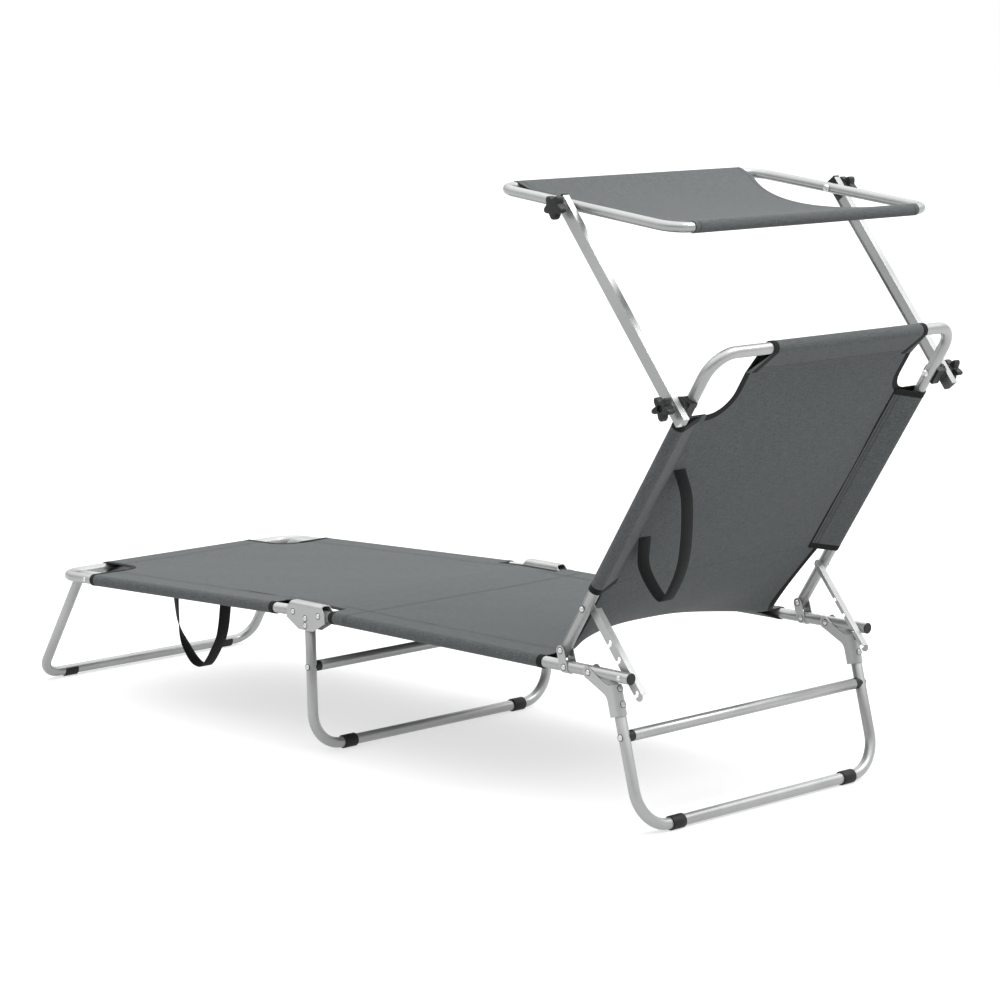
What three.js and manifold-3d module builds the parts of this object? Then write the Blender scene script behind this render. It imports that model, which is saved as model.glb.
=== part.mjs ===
// Folding sun lounger with a tilting canopy.
// Millimetres, +Z up. The head end is towards +Y and the foot end towards -Y.
// The origin is on the floor, under the middle of the lounger's overall box.

import * as THREE from 'three';
import { mergeVertices } from 'three/addons/utils/BufferGeometryUtils.js';
import Module from 'manifold-3d';

const wasm = await Module();
wasm.setup();

const degree = Math.PI / 180;

// Stock: tubes, plate, webbing and fabric
const tubeDiameter = 18;
const canopyTubeDiameter = 16;
const tubeWall = 1.2;
const plate = 1.5;
const fabric = 1.2;
const fit = 0.3;
const cutOverrun = 30;
const weldDistance = 0.0002;

// Rivets and bolts
const rivetShank = 5;
const rivetHead = 9;
const rivetDome = 2;
const crownShare = 0.5;
const boltCrownShare = 0.6;
const boltShoulderShare = 0.3;
const boltShank = 6;
const boltHead = 12;
const boltDome = 4.5;

// Main frame, measured at the tube axes
const railSpacing = 546;
const railHeight = 241;
const pivotSpacing = 65;
const tubeTail = 12;

// Seat rails, measured from their pivot towards the head
const seatSleeveStart = 24.5;
const seatSleeveEnd = 531;
const linkRivetAt = 582;
const headLegPivotAt = 634.7;
const strutPinAt = 698;
const seatTubeEnd = 715.2;

// Foot section, measured from its pivot towards the foot
const footSlope = 2.05;
const footSleeveStart = 55.5;
const footSleeveEnd = 575.5;
const footLegPivotAt = 593.4;
const footBarAt = 680;
const footBendRadius = 42;
const footBarSleeveHalf = 172;
const footBiteRadius = 38;

// Backrest, measured from its pivot along the tube
const reclineAngle = 56.8;
const backrestPivotBack = 7.3;
const backrestPivotRise = 25;
const backrestTail = 10;
const strutPivotAt = 84;
const backSleeveStart = 120;
const backSleeveEnd = 445;
const clampAt = 478;
const topBarAt = 570;
const backrestBendRadius = 43;
const topRightHem = 169;
const topLeftHem = 220;
const topRightSleeveEnd = 156;
const topLeftSleeveEnd = 194;
const topRightBiteRadius = 42;
const topLeftBiteRadius = 25;

// Sling: sewn pockets round the tubes and cut-outs at the hinges and corners
const pocketWidth = 51;
const pocketApex = 6;
const waistClearance = 10.2;
const seam = 0.15;
const bayDepth = 170;
const bayHalfShare = 0.875;
const bayGap = 0.6;

// Carrying straps
const strapWidth = 25;
const strapThickness = 1.6;
const strapX = 208;
const strapSpanSteps = 4;
const footStrapRoute = [[272, -27], [287, -76], [308, -113], [334, -138], [350, -143], [376, -139], [402, -110],
  [418, -66], [421, -29]];
const footStrapTwists = [0, 0, 0, 0, 0, 20, 50, 80, 40];
const backStrapRoute = [[341, 7.7], [309, -31], [233, -73], [170, -81], [153, -69], [169, -17], [209, 7.7]];

// Hinge bracket over the middle of each rail
const bracketRidgeHalf = 40;
const bracketShoulderHalf = 42;
const bracketHalfLength = 49;
const bracketToeHalf = 18;
const bracketRidgeRise = 18;
const bracketShoulderRise = 13;
const bracketEndRise = 5;
const bracketEndDrop = 11;
const bracketDrop = 28;
const bracketCornerRadius = 7;
const bracketShoulderShare = 0.62;
const legRivetDrops = [8, 20];

// Legs
const padOuter = 23;
const padLength = 28;
const midLegLean = 1.2;
const midLegBack = 1;
const midLegTopRise = 3;
const midLegBendRadius = 60;
const crossbarHeight = 150;
const saddleLength = 8;
const plugLip = 2;
const plugShoulder = 1.4;
const plugRound = 0.6;
const spigotLength = 14;
const midPadX = 197;
const headLegLean = 14.45;
const headLegOffset = 41.8;
const headLegTopDrop = 26;
const headLegBendRadius = 60;
const headCrossbarDown = 105;
const headPadX = 198;
const footLegGap = 5;
const footLegTail = 7;
const footLegKneeAt = 56;
const footLegKneeRadius = 40;
const footLegLean = 33.2;
const footLegBendRadius = 40;
const footPadX = 185;

// Head leg bracket, measured from its pivot and down along the leg
const headBracketTop = 25;
const headBracketBottom = 73;
const headBracketLobe = 10.5;
const headBracketRivets = [31.5, 56];
const headLobeEnd = 245;
const headHeelRadius = 16.8;
const headHeelShare = 0.55;
const headBackAcrossShare = 0.6;
const headBackDownShare = 0.72;

// Hinge link
const linkWidth = 16;

// Strut
const strutWidth = 15;
const strutThickness = 1.8;
const strutFlange = 12;
const strutInset = 11.1;
const notchPitch = 30;
const notchCount = 4;
const heldNotch = 2;
const flangeStartShare = 0.45;
const notchDiameter = 7.2;
const notchMouth = 5.6;
const notchLobeShift = 2.4;
const strutTip = 14;
const strutPinDiameter = 6.4;
const pinCrown = 3.2;

// Clamps, arms and knobs
const clampBlock = 26;
const clampBlockChamfer = 7;
const clampWrap = 2;
const clampBlockReach = 18;
const discDiameter = 29;
const discThickness = 3;
const discTeeth = 18;
const discToothDepth = 1.2;
const armSpacing = 624;
const armWidth = 20;
const armDepth = 12;
const armLength = 356.8;
const armAngle = 128.1;
const armTail = 28.5;
const armHead = 13;
const capThickness = 3;
const capTongue = 10;
const nutWidth = 13;
const nutThickness = 4;
const nutSides = 6;
const knobRadius = 14.5;
const knobLobeDepth = 4.5;
const knobLobes = 5;
const knobThickness = 14;
const knobHub = 17;
const knobHubLength = 6;
const knobRecess = 11;
const knobRecessDepth = 5;

// Canopy, measured from its bolts in its own plane
const canopySlope = -6.9;
const canopySpacing = 576;
const canopyFootBarAt = 166;
const canopyHeadBarAt = 206.5;
const canopyBendRadius = 35;
const canopySleeveHalf = 252;
const canopyFabric = 1;
const canopyEdgeCurve = 60;
const canopySag = 26;
const canopyPocket = 30;

// Facets
const tubeSides = 12;
const boreSides = 8;
const padSides = 16;
const rivetSides = 8;
const bendSteps = 5;
const quarterSteps = 5;
const arcSteps = 2 * quarterSteps;
const starPointsPerLobe = 6;
const sheetSteps = 8;
const slopeShare = 0.001;

const tubeRadius = tubeDiameter / 2;
const railX = railSpacing / 2;
const holeRadius = rivetShank / 2 + fit + fit / 2;
const bracketInner = tubeRadius + fit;
const bracketOuter = bracketInner + plate;
const waistHalf = railX - bracketOuter - waistClearance;
const sleeveInner = tubeRadius + fit;
const sleeveOuter = sleeveInner + fabric;
const sheetUnder = sleeveInner - fit;
const sheetMiddle = (sheetUnder + sleeveOuter) / 2;
const floorAxis = (padOuter / 2) * Math.cos(Math.PI / padSides);
const armFace = armSpacing / 2;

const silver = () => new THREE.MeshStandardMaterial({
  color: 0xa6a9a8, roughness: 0.42, metalness: 0.65, flatShading: true });
const bright = () => new THREE.MeshStandardMaterial({
  color: 0xc6c8c8, roughness: 0.3, metalness: 0.85, flatShading: true });
const blackPlastic = () => new THREE.MeshStandardMaterial({
  color: 0x2b2d2e, roughness: 0.55, metalness: 0, flatShading: true });
const greyCloth = () => new THREE.MeshStandardMaterial({
  color: 0x707575, roughness: 0.9, metalness: 0, flatShading: true });
const webbing = () => new THREE.MeshStandardMaterial({
  color: 0x1e2122, roughness: 0.85, metalness: 0, flatShading: true });

const vec = (x, y, z) => new THREE.Vector3(x, y, z);
const flat = (x, y) => new THREE.Vector2(x, y);
const sideName = (side) => (side > 0 ? 'right' : 'left');

// Closed mesh with shared corners, no empty triangles and faces that point out
function welded(geometry) {
  const bare = geometry.clone();
  bare.deleteAttribute('normal');
  bare.deleteAttribute('uv');
  const merged = mergeVertices(bare, weldDistance);
  const source = merged.index.array;
  const triangles = [];
  for (let i = 0; i < source.length; i += 3) {
    const [a, b, c] = [source[i], source[i + 1], source[i + 2]];
    if (a !== b && b !== c && c !== a) triangles.push(a, b, c);
  }
  merged.setIndex(triangles);
  if (signedVolume(merged) < 0) merged.setIndex(triangles.reverse());
  return merged;
}

function signedVolume(geometry) {
  const place = geometry.attributes.position;
  const index = geometry.index.array;
  const corners = [vec(0, 0, 0), vec(0, 0, 0), vec(0, 0, 0)];
  let volume = 0;
  for (let i = 0; i < index.length; i += 3) {
    corners.forEach((corner, k) => corner.fromBufferAttribute(place, index[i + k]));
    volume += corners[0].dot(corners[1].clone().cross(corners[2]));
  }
  return volume / 6;
}

function asSolid(geometry) {
  const mesh = welded(geometry);
  return new wasm.Manifold(new wasm.Mesh({
    numProp: 3,
    vertProperties: new Float32Array(mesh.attributes.position.array),
    triVerts: new Uint32Array(mesh.index.array),
  }));
}

function asGeometry(solid) {
  const mesh = solid.getMesh();
  const geometry = new THREE.BufferGeometry();
  geometry.setAttribute('position', new THREE.BufferAttribute(new Float32Array(mesh.vertProperties), 3));
  geometry.setIndex(Array.from(mesh.triVerts));
  return geometry;
}

function join(...geometries) {
  return asGeometry(geometries.map(asSolid).reduce((whole, next) => whole.add(next)));
}

function cut(geometry, ...cutters) {
  return asGeometry(cutters.map(asSolid).reduce((left, next) => left.subtract(next), asSolid(geometry)));
}

function common(first, second) {
  return asGeometry(asSolid(first).intersect(asSolid(second)));
}

function mirrorX(geometry) {
  return welded(geometry.clone().applyMatrix4(new THREE.Matrix4().makeScale(-1, 1, 1)));
}

const onSide = (side, geometry) => (side > 0 ? geometry : mirrorX(geometry));

function addPiece(parent, name, geometry, material) {
  const mesh = new THREE.Mesh(welded(geometry), material);
  mesh.name = name;
  parent.add(mesh);
  return mesh;
}

// Outlines
function circleLoop(radius, sides) {
  return Array.from({ length: sides }, (_, i) => {
    const angle = ((i + 0.5) * 2 * Math.PI) / sides;
    return flat(radius * Math.cos(angle), radius * Math.sin(angle));
  });
}

function arcPoints(centre, radius, from, to, steps) {
  return Array.from({ length: steps + 1 }, (_, i) => {
    const angle = from + ((to - from) * i) / steps;
    return flat(centre.x + radius * Math.cos(angle), centre.y + radius * Math.sin(angle));
  });
}

// Outline with holes, turned counter-clockwise as an extrusion expects it
function outlineShape(points, holes) {
  const shape = new THREE.Shape(THREE.ShapeUtils.isClockWise(points) ? points.slice().reverse() : points);
  shape.holes = holes.map((hole) => new THREE.Path(hole));
  return shape;
}

// Corner of an outline replaced by an arc
function roundCorner(before, corner, after, radius, steps) {
  const inward = before.clone().sub(corner).normalize();
  const outward = after.clone().sub(corner).normalize();
  const half = Math.acos(THREE.MathUtils.clamp(inward.dot(outward), -1, 1)) / 2;
  const toCentre = inward.clone().add(outward).normalize().multiplyScalar(radius / Math.sin(half));
  const centre = corner.clone().add(toCentre);
  const start = corner.clone().addScaledVector(inward, radius / Math.tan(half)).sub(centre);
  const end = corner.clone().addScaledVector(outward, radius / Math.tan(half)).sub(centre);
  let sweepAngle = end.angle() - start.angle();
  if (sweepAngle > Math.PI) sweepAngle -= 2 * Math.PI;
  if (sweepAngle < -Math.PI) sweepAngle += 2 * Math.PI;
  return arcPoints(centre, radius, start.angle(), start.angle() + sweepAngle, steps);
}

// Round-ended slot between two points
function stadium(from, to, radius) {
  const heading = Math.atan2(to.y - from.y, to.x - from.x);
  const right = Math.PI / 2;
  return new THREE.Shape([
    ...arcPoints(to, radius, heading - right, heading + right, arcSteps),
    ...arcPoints(from, radius, heading + right, heading + 3 * right, arcSteps),
  ]);
}

// Prisms along each axis, from an outline in the plane across it
function extrude(shape, depth) {
  return new THREE.ExtrudeGeometry(shape, { depth, bevelEnabled: false, steps: 1, curveSegments: arcSteps });
}

function prismX(shape, low, high) {
  const basis = new THREE.Matrix4().makeBasis(vec(0, 1, 0), vec(0, 0, 1), vec(1, 0, 0));
  return extrude(shape, high - low).applyMatrix4(basis).translate(low, 0, 0);
}

function prismY(shape, low, high) {
  const basis = new THREE.Matrix4().makeBasis(vec(1, 0, 0), vec(0, 0, 1), vec(0, -1, 0));
  return extrude(shape, high - low).applyMatrix4(basis).translate(0, high, 0);
}

function prismZ(shape, low, high) {
  return extrude(shape, high - low).translate(0, 0, low);
}

function boxBetween(low, high) {
  const size = high.clone().sub(low);
  const middle = low.clone().add(high).multiplyScalar(0.5);
  return new THREE.BoxGeometry(size.x, size.y, size.z).translate(middle.x, middle.y, middle.z);
}

function rodX(radius, low, high, y, z, sides) {
  const shape = new THREE.Shape(circleLoop(radius, sides));
  return prismX(shape, low, high).translate(0, y, z);
}

// Turned piece on an axis along X: the profile is a list of radius and distance along X
function turnedX(profile, y, z, sides) {
  const points = profile.map(([radius, along]) => flat(radius, along));
  return new THREE.LatheGeometry(points, sides, Math.PI / sides).rotateZ(-Math.PI / 2).translate(0, y, z);
}

// A rivet from one outer face to the other, with a low dome at each end
function rivetX(low, high, y, z) {
  const head = rivetHead / 2;
  const shank = rivetShank / 2;
  const crown = head * crownShare;
  return turnedX([
    [0, low - rivetDome], [crown, low - rivetDome], [head, low], [shank, low],
    [shank, high], [head, high], [crown, high + rivetDome], [0, high + rivetDome],
  ], y, z, rivetSides);
}

// Domed head alone, seated a little into the face that carries it
function domeX(face, direction, y, z) {
  const head = rivetHead / 2;
  return turnedX([
    [0, face - direction * fit], [head, face - direction * fit],
    [head * crownShare, face + direction * rivetDome], [0, face + direction * rivetDome],
  ], y, z, rivetSides);
}

function domeY(face, x, z) {
  return domeX(0, 1, 0, 0).rotateZ(Math.PI / 2).translate(x, face, z);
}

// Path through corners that are rounded by arcs
function bentPath(corners, radii, closed = false) {
  const stations = [];
  const count = corners.length;
  const straight = (from, to) => to.clone().sub(from).normalize();
  if (!closed) stations.push({ at: corners[0], heading: straight(corners[0], corners[1]) });
  const first = closed ? 0 : 1;
  const last = closed ? count : count - 1;
  for (let i = first; i < last; i += 1) {
    const corner = corners[i];
    const before = corners[(i + count - 1) % count];
    const after = corners[(i + 1) % count];
    stations.push(...arcStations(straight(before, corner), corner, straight(corner, after), radii[i]));
  }
  if (!closed) stations.push({ at: corners[count - 1], heading: straight(corners[count - 2], corners[count - 1]) });
  return stations;
}

function arcStations(incoming, corner, outgoing, radius) {
  const turn = incoming.angleTo(outgoing);
  const side = outgoing.clone().addScaledVector(incoming, -outgoing.dot(incoming)).normalize();
  const start = corner.clone().addScaledVector(incoming, -radius * Math.tan(turn / 2));
  const centre = start.clone().addScaledVector(side, radius);
  return Array.from({ length: bendSteps + 1 }, (_, i) => {
    const angle = (turn * i) / bendSteps;
    const at = centre.clone().addScaledVector(side, -radius * Math.cos(angle));
    at.addScaledVector(incoming, radius * Math.sin(angle));
    const heading = incoming.clone().multiplyScalar(Math.cos(angle)).addScaledVector(side, Math.sin(angle));
    return { at, heading };
  });
}

// Section axes carried along a path without twisting
function framed(stations, firstAcross) {
  const across = firstAcross.clone();
  return stations.map(({ at, heading }) => {
    across.addScaledVector(heading, -across.dot(heading)).normalize();
    return { at, across: across.clone(), up: heading.clone().cross(across) };
  });
}

// Solid swept along framed stations, with an optional bore
function sweep(frames, outline, bore, closed = false) {
  const loops = bore ? [outline, bore] : [outline];
  const positions = [];
  const index = [];
  const ring = loops.flat().length;
  for (const { at, across, up } of frames) {
    for (const point of loops.flat()) {
      const place = at.clone().addScaledVector(across, point.x).addScaledVector(up, point.y);
      positions.push(place.x, place.y, place.z);
    }
  }
  const spans = closed ? frames.length : frames.length - 1;
  for (let s = 0; s < spans; s += 1) {
    const from = s * ring;
    const to = ((s + 1) % frames.length) * ring;
    for (let i = 0; i < outline.length; i += 1) {
      const next = (i + 1) % outline.length;
      index.push(from + i, from + next, to + next, from + i, to + next, to + i);
    }
    for (let i = outline.length; i < ring; i += 1) {
      const next = i + 1 < ring ? i + 1 : outline.length;
      index.push(from + next, from + i, to + next, from + i, to + i, to + next);
    }
  }
  if (!closed) {
    const caps = THREE.ShapeUtils.triangulateShape(outline, bore ? [bore] : []);
    const end = (frames.length - 1) * ring;
    for (const [a, b, c] of caps) index.push(a, c, b, end + a, end + b, end + c);
  }
  const geometry = new THREE.BufferGeometry();
  geometry.setAttribute('position', new THREE.Float32BufferAttribute(positions, 3));
  geometry.setIndex(index);
  return geometry;
}

function tubeAlong(corners, radii, diameter, closed = false) {
  const across = vec(0, 0, 1);
  const heading = corners[1].clone().sub(corners[0]).normalize();
  if (Math.abs(heading.z) > Math.abs(heading.y) && Math.abs(heading.z) > Math.abs(heading.x)) across.set(0, 1, 0);
  const frames = framed(bentPath(corners, radii, closed), across);
  const bore = closed ? null : circleLoop(diameter / 2 - tubeWall, boreSides);
  return sweep(frames, circleLoop(diameter / 2, tubeSides), bore, closed);
}

// Cloth of even thickness on a surface given by two shares from 0 to 1
function clothSheet(surface, acrossSteps, alongSteps, thickness) {
  const positions = [];
  const index = [];
  const columns = acrossSteps + 1;
  const total = columns * (alongSteps + 1);
  for (const face of [0.5, -0.5]) {
    for (let j = 0; j <= alongSteps; j += 1) {
      for (let i = 0; i <= acrossSteps; i += 1) {
        const [u, v] = [i / acrossSteps, j / alongSteps];
        const at = surface(u, v);
        const alongU = surface(u + slopeShare, v).sub(surface(u - slopeShare, v));
        const alongV = surface(u, v + slopeShare).sub(surface(u, v - slopeShare));
        const place = at.addScaledVector(alongU.cross(alongV).normalize(), face * thickness);
        positions.push(place.x, place.y, place.z);
      }
    }
  }
  for (let j = 0; j < alongSteps; j += 1) {
    for (let i = 0; i < acrossSteps; i += 1) {
      const a = j * columns + i;
      const [b, c, d] = [a + 1, a + columns + 1, a + columns];
      index.push(a, b, c, a, c, d);
      index.push(total + a, total + c, total + b, total + a, total + d, total + c);
    }
  }
  const border = sheetBorder(acrossSteps, alongSteps);
  border.forEach((a, k) => {
    const b = border[(k + 1) % border.length];
    index.push(a, total + a, total + b, a, total + b, b);
  });
  const geometry = new THREE.BufferGeometry();
  geometry.setAttribute('position', new THREE.Float32BufferAttribute(positions, 3));
  geometry.setIndex(index);
  return geometry;
}

function sheetBorder(acrossSteps, alongSteps) {
  const columns = acrossSteps + 1;
  const border = [];
  for (let i = 0; i < acrossSteps; i += 1) border.push(i);
  for (let j = 0; j < alongSteps; j += 1) border.push(j * columns + acrossSteps);
  for (let i = acrossSteps; i > 0; i -= 1) border.push(alongSteps * columns + i);
  for (let j = alongSteps; j > 0; j -= 1) border.push(j * columns);
  return border;
}

// Sling pocket: cloth laid over a tube at the origin, round it and back to a hem line on the sheet.
// The sheet leaves towards -u. The tube's own side of the sheet is its underside.
function pocketOutline(innerRadius, thickness, width) {
  const outerRadius = innerRadius + thickness;
  const hem = flat(-width, innerRadius - fit);
  const reach = hem.length();
  const tangent = hem.angle() + Math.acos(outerRadius / reach) - 2 * Math.PI;
  const outer = arcPoints(flat(0, 0), outerRadius, Math.PI / 2, tangent, arcSteps);
  const inner = arcPoints(flat(0, 0), innerRadius, Math.PI / 2, tangent, arcSteps);
  const apex = flat(pocketApex - width, innerRadius - fit / 2);
  return { outer, hem, inner: [...inner, apex] };
}

// Cross-section of a sling carried by two parallel tubes
function slingSection() {
  const { outer, hem, inner } = pocketOutline(sleeveInner, fabric, pocketWidth);
  const right = (point) => flat(point.x + railX, point.y);
  const left = (point) => flat(-point.x - railX, point.y);
  const around = [...outer.map(right), right(hem), left(hem), ...outer.map(left).reverse()];
  return outlineShape(around, [inner.map(right), inner.map(left)]);
}

function sheetBetween(low, high, half) {
  return boxBetween(vec(-half, low, sheetUnder), vec(half, high, sleeveOuter));
}

// Part of the sheet removed beside a hinge, with rounded inner corners
function waistCut(low, high) {
  const top = sleeveOuter + cutOverrun;
  const shape = new THREE.Shape([
    flat(railX + cutOverrun, low), flat(waistHalf, low),
    ...roundCorner(flat(waistHalf, low), flat(waistHalf, high), flat(railX, high), tubeRadius, bendSteps),
    flat(railX + cutOverrun, high),
  ]);
  return prismZ(shape, -top, top);
}

// Rounded bite out of a sling's corner, from the side pocket's end to the end bar's pocket
function cornerBite(side, sleeveEnd, barAt, { hemHalf, barEnd, radius }) {
  const top = sleeveOuter + cutOverrun;
  const hemAt = barAt - pocketWidth;
  const shape = new THREE.Shape([
    flat(railX + cutOverrun, sleeveEnd),
    ...roundCorner(flat(railX, sleeveEnd), flat(hemHalf, sleeveEnd), flat(hemHalf, hemAt), radius, arcSteps),
    flat(hemHalf, hemAt),
    flat(barEnd, barAt),
    flat(barEnd, barAt + cutOverrun),
    flat(railX + cutOverrun, barAt + cutOverrun),
  ]);
  return onSide(side, prismZ(shape, -top, top));
}

// Sling on a U-shaped frame: two side pockets, an end pocket and a bite out of each corner
function endSling({ start, sleeveStart, sleeveEnd, barAt, right, left }) {
  const { outer, hem, inner } = pocketOutline(sleeveInner, fabric, pocketWidth);
  const sides = prismY(slingSection(), start, barAt - pocketWidth);
  const place = (point) => flat(barAt + point.x, point.y);
  const sewnOn = flat(hem.x, sleeveOuter);
  const endShape = outlineShape([...outer, hem, sewnOn].map(place), [inner.map(place)]);
  const end = prismX(endShape, -railX, railX);
  const solid = join(sides, end);
  const cutters = [cornerBite(1, sleeveEnd, barAt, right), cornerBite(-1, sleeveEnd, barAt, left)];
  if (sleeveStart > start) {
    const beside = waistCut(start - cutOverrun, sleeveStart);
    cutters.push(beside, mirrorX(beside));
  }
  return cut(solid, ...cutters);
}

// U-shaped frame of one tube, its bar at the far end
function uFrame(tail, barAt, radius) {
  return tubeAlong([
    vec(railX, -tail, 0), vec(railX, barAt, 0), vec(-railX, barAt, 0), vec(-railX, -tail, 0),
  ], [0, radius, radius, 0], tubeDiameter);
}

function crossHole(radius, y, z) {
  return rodX(radius, -railX - cutOverrun, railX + cutOverrun, y, z, rivetSides);
}

// Route between the two ends where a strap is sewn under a sling's sheet
function hungRoute(route) {
  const under = sheetUnder - fit - strapThickness / 2;
  const [first, last] = [route[0], route[route.length - 1]];
  return [[first[0], under], ...route.slice(1, -1), [last[0], under]];
}

// Webbing along a route in the plane across X, turned about its own line by a given angle at each point
function strapAlong(route, x, twists) {
  const curve = new THREE.CatmullRomCurve3(route.map(([y, z]) => vec(x, y, z)), false, 'centripetal');
  const steps = route.length * strapSpanSteps;
  const turned = (share) => {
    const place = share * (twists.length - 1);
    const low = Math.min(Math.floor(place), twists.length - 2);
    return THREE.MathUtils.lerp(twists[low], twists[low + 1], place - low) * degree;
  };
  const frames = Array.from({ length: steps + 1 }, (_, i) => {
    const share = i / steps;
    const heading = curve.getTangentAt(share);
    const across = vec(1, 0, 0).applyAxisAngle(heading, turned(share));
    return { at: curve.getPointAt(share), across, up: heading.clone().cross(across) };
  });
  const [w, t] = [strapWidth / 2, strapThickness / 2];
  return sweep(frames, [flat(-w, -t), flat(w, -t), flat(w, t), flat(-w, t)], null);
}

// Seat frame: two rails, their plugs, hinge links and strut pins
const lounger = new THREE.Group();
const seatFrame = new THREE.Group();
seatFrame.name = 'seat_frame';
seatFrame.position.set(0, pivotSpacing / 2, railHeight);
lounger.add(seatFrame);

function seatRail() {
  const rail = tubeAlong([vec(railX, -tubeTail, 0), vec(railX, seatTubeEnd, 0)], [], tubeDiameter);
  const holes = [0, linkRivetAt, headLegPivotAt].map((y) => crossHole(holeRadius, y, 0));
  const pinHole = crossHole(strutPinDiameter / 2 + fit, strutPinAt, 0);
  return cut(rail, ...holes, pinHole);
}

function railPlug() {
  const flange = tubeRadius;
  const spigot = tubeRadius - tubeWall - fit;
  const shape = [[0, -spigotLength], [spigot, -spigotLength], [spigot, fit], [flange, fit],
    [flange, fit + plugShoulder], [flange - plugRound, fit + plugLip], [0, fit + plugLip]];
  return turnedX(shape, 0, 0, boreSides).rotateZ(Math.PI / 2).translate(railX, seatTubeEnd, 0);
}

// Strap bent under the rail, joining the backrest's pivot to it
function hingeLink() {
  const upper = flat(linkRivetAt - backrestPivotBack, backrestPivotRise);
  const lower = flat(linkRivetAt, 0);
  const side = stadium(lower, upper, linkWidth / 2);
  const inner = prismX(side, railX - bracketOuter, railX - bracketInner);
  const outer = prismX(side, railX + bracketInner, railX + bracketOuter);
  const cradle = new THREE.Shape([
    ...arcPoints(flat(railX, 0), bracketOuter, Math.PI, 2 * Math.PI, arcSteps),
    ...arcPoints(flat(railX, 0), bracketInner, 2 * Math.PI, Math.PI, arcSteps),
  ]);
  const under = prismY(cradle, linkRivetAt - linkWidth / 2, linkRivetAt + linkWidth / 2);
  const rivets = [upper, lower].map((p) => rivetX(railX - bracketOuter, railX + bracketOuter, p.x, p.y));
  return join(inner, outer, under, ...rivets);
}

// Short pin that carries the strut, headed on the outside of the rail
function strutPin() {
  const radius = strutPinDiameter / 2;
  const inner = railX - strutInset + fit;
  const collar = radius + plate;
  const face = railX - tubeRadius - fit;
  const shape = [[0, inner], [collar, inner], [collar, face], [radius, face],
    [radius, railX + tubeRadius + fit], [rivetHead / 2, railX + tubeRadius + fit],
    [pinCrown, railX + tubeRadius + rivetDome], [0, railX + tubeRadius + rivetDome + fit]];
  return turnedX(shape, strutPinAt, 0, rivetSides);
}

// The seat's sheet ends in a curved bay, where the pull of the backrest lifts the next cloth out of its plane
function seatEndAt(x) {
  const share = Math.abs(x) / (waistHalf * bayHalfShare);
  return seatSleeveEnd - bayDepth * Math.max(0, 1 - share * share);
}

const bridgeColumns = Array.from({ length: 2 * sheetSteps + 1 }, (_, i) => waistHalf * (1 - i / sheetSteps));

function seatBay() {
  const inside = bridgeColumns.filter((x) => seatEndAt(x) < seatSleeveEnd);
  const half = waistHalf * bayHalfShare;
  const shape = outlineShape([
    flat(half, seatSleeveEnd + cutOverrun), flat(half, seatSleeveEnd),
    ...inside.map((x) => flat(x, seatEndAt(x))),
    flat(-half, seatSleeveEnd), flat(-half, seatSleeveEnd + cutOverrun),
  ], []);
  return prismZ(shape, -cutOverrun, cutOverrun);
}

function seatSling() {
  const body = prismY(slingSection(), seatSleeveStart - tubeTail, seatSleeveEnd);
  const waist = sheetBetween(seam, seatSleeveStart, waistHalf);
  const beside = waistCut(-cutOverrun, seatSleeveStart);
  return cut(join(body, waist), beside, mirrorX(beside), seatBay());
}

for (const side of [1, -1]) {
  const name = sideName(side);
  addPiece(seatFrame, `seat_rail_${name}`, onSide(side, seatRail()), silver());
  addPiece(seatFrame, `rail_plug_${name}`, onSide(side, railPlug()), blackPlastic());
  addPiece(seatFrame, `hinge_link_${name}`, onSide(side, hingeLink()), silver());
  addPiece(seatFrame, `strut_pin_${name}`, onSide(side, strutPin()), bright());
}
addPiece(seatFrame, 'seat_sling', seatSling(), greyCloth());

// U-shaped leg of one tube with a crossbar on two saddles, in a plane of its own
function legTube(spacing, y, top, floor, radius) {
  const half = spacing / 2;
  return tubeAlong([
    vec(half, y, top), vec(half, y, floor), vec(-half, y, floor), vec(-half, y, top),
  ], [0, radius, radius, 0], tubeDiameter);
}

function crossbarTube(y, z) {
  const half = railX - tubeRadius - saddleLength;
  return tubeAlong([vec(-half, y, z), vec(half, y, z)], [], tubeDiameter);
}

function crossbarSaddle(y, z) {
  const inner = railX - tubeRadius - saddleLength;
  const spigot = rodX(tubeRadius - tubeWall - fit, inner - spigotLength, inner + fit + fit, y, z, boreSides);
  const block = rodX(tubeRadius, inner + fit, railX, y, z, padSides);
  const around = tubeRadius + fit;
  const seat = prismZ(new THREE.Shape(circleLoop(around, padSides)), z - cutOverrun, z + cutOverrun);
  return join(spigot, cut(block, seat.translate(railX, y, 0)));
}

// Sleeve round the floor bar, with a flat facet on the floor
function footPad(x, y, z) {
  const inner = tubeRadius + fit;
  const outer = padOuter / 2;
  const [low, high] = [x - padLength / 2, x + padLength / 2];
  return turnedX([[inner, low], [outer, low], [outer, high], [inner, high], [inner, low]], y, z, padSides);
}

// Middle leg with the two hinge brackets; it folds about the seat rails' rivets
const midLeg = new THREE.Group();
midLeg.position.set(0, -pivotSpacing / 2, 0);
seatFrame.add(midLeg);

function bracketSideOutline() {
  const corners = [
    flat(bracketRidgeHalf, bracketRidgeRise), flat(bracketShoulderHalf, bracketShoulderRise),
    flat(bracketHalfLength, bracketEndRise), flat(bracketHalfLength, -bracketEndDrop),
  ];
  const toe = flat(bracketToeHalf, -bracketDrop);
  const rounded = roundCorner(corners[3], toe, flat(0, -bracketDrop), bracketCornerRadius, bendSteps);
  const right = [...corners, ...rounded];
  const left = right.map((point) => flat(-point.x, point.y)).reverse();
  return new THREE.Shape([...right, ...left]);
}

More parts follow.
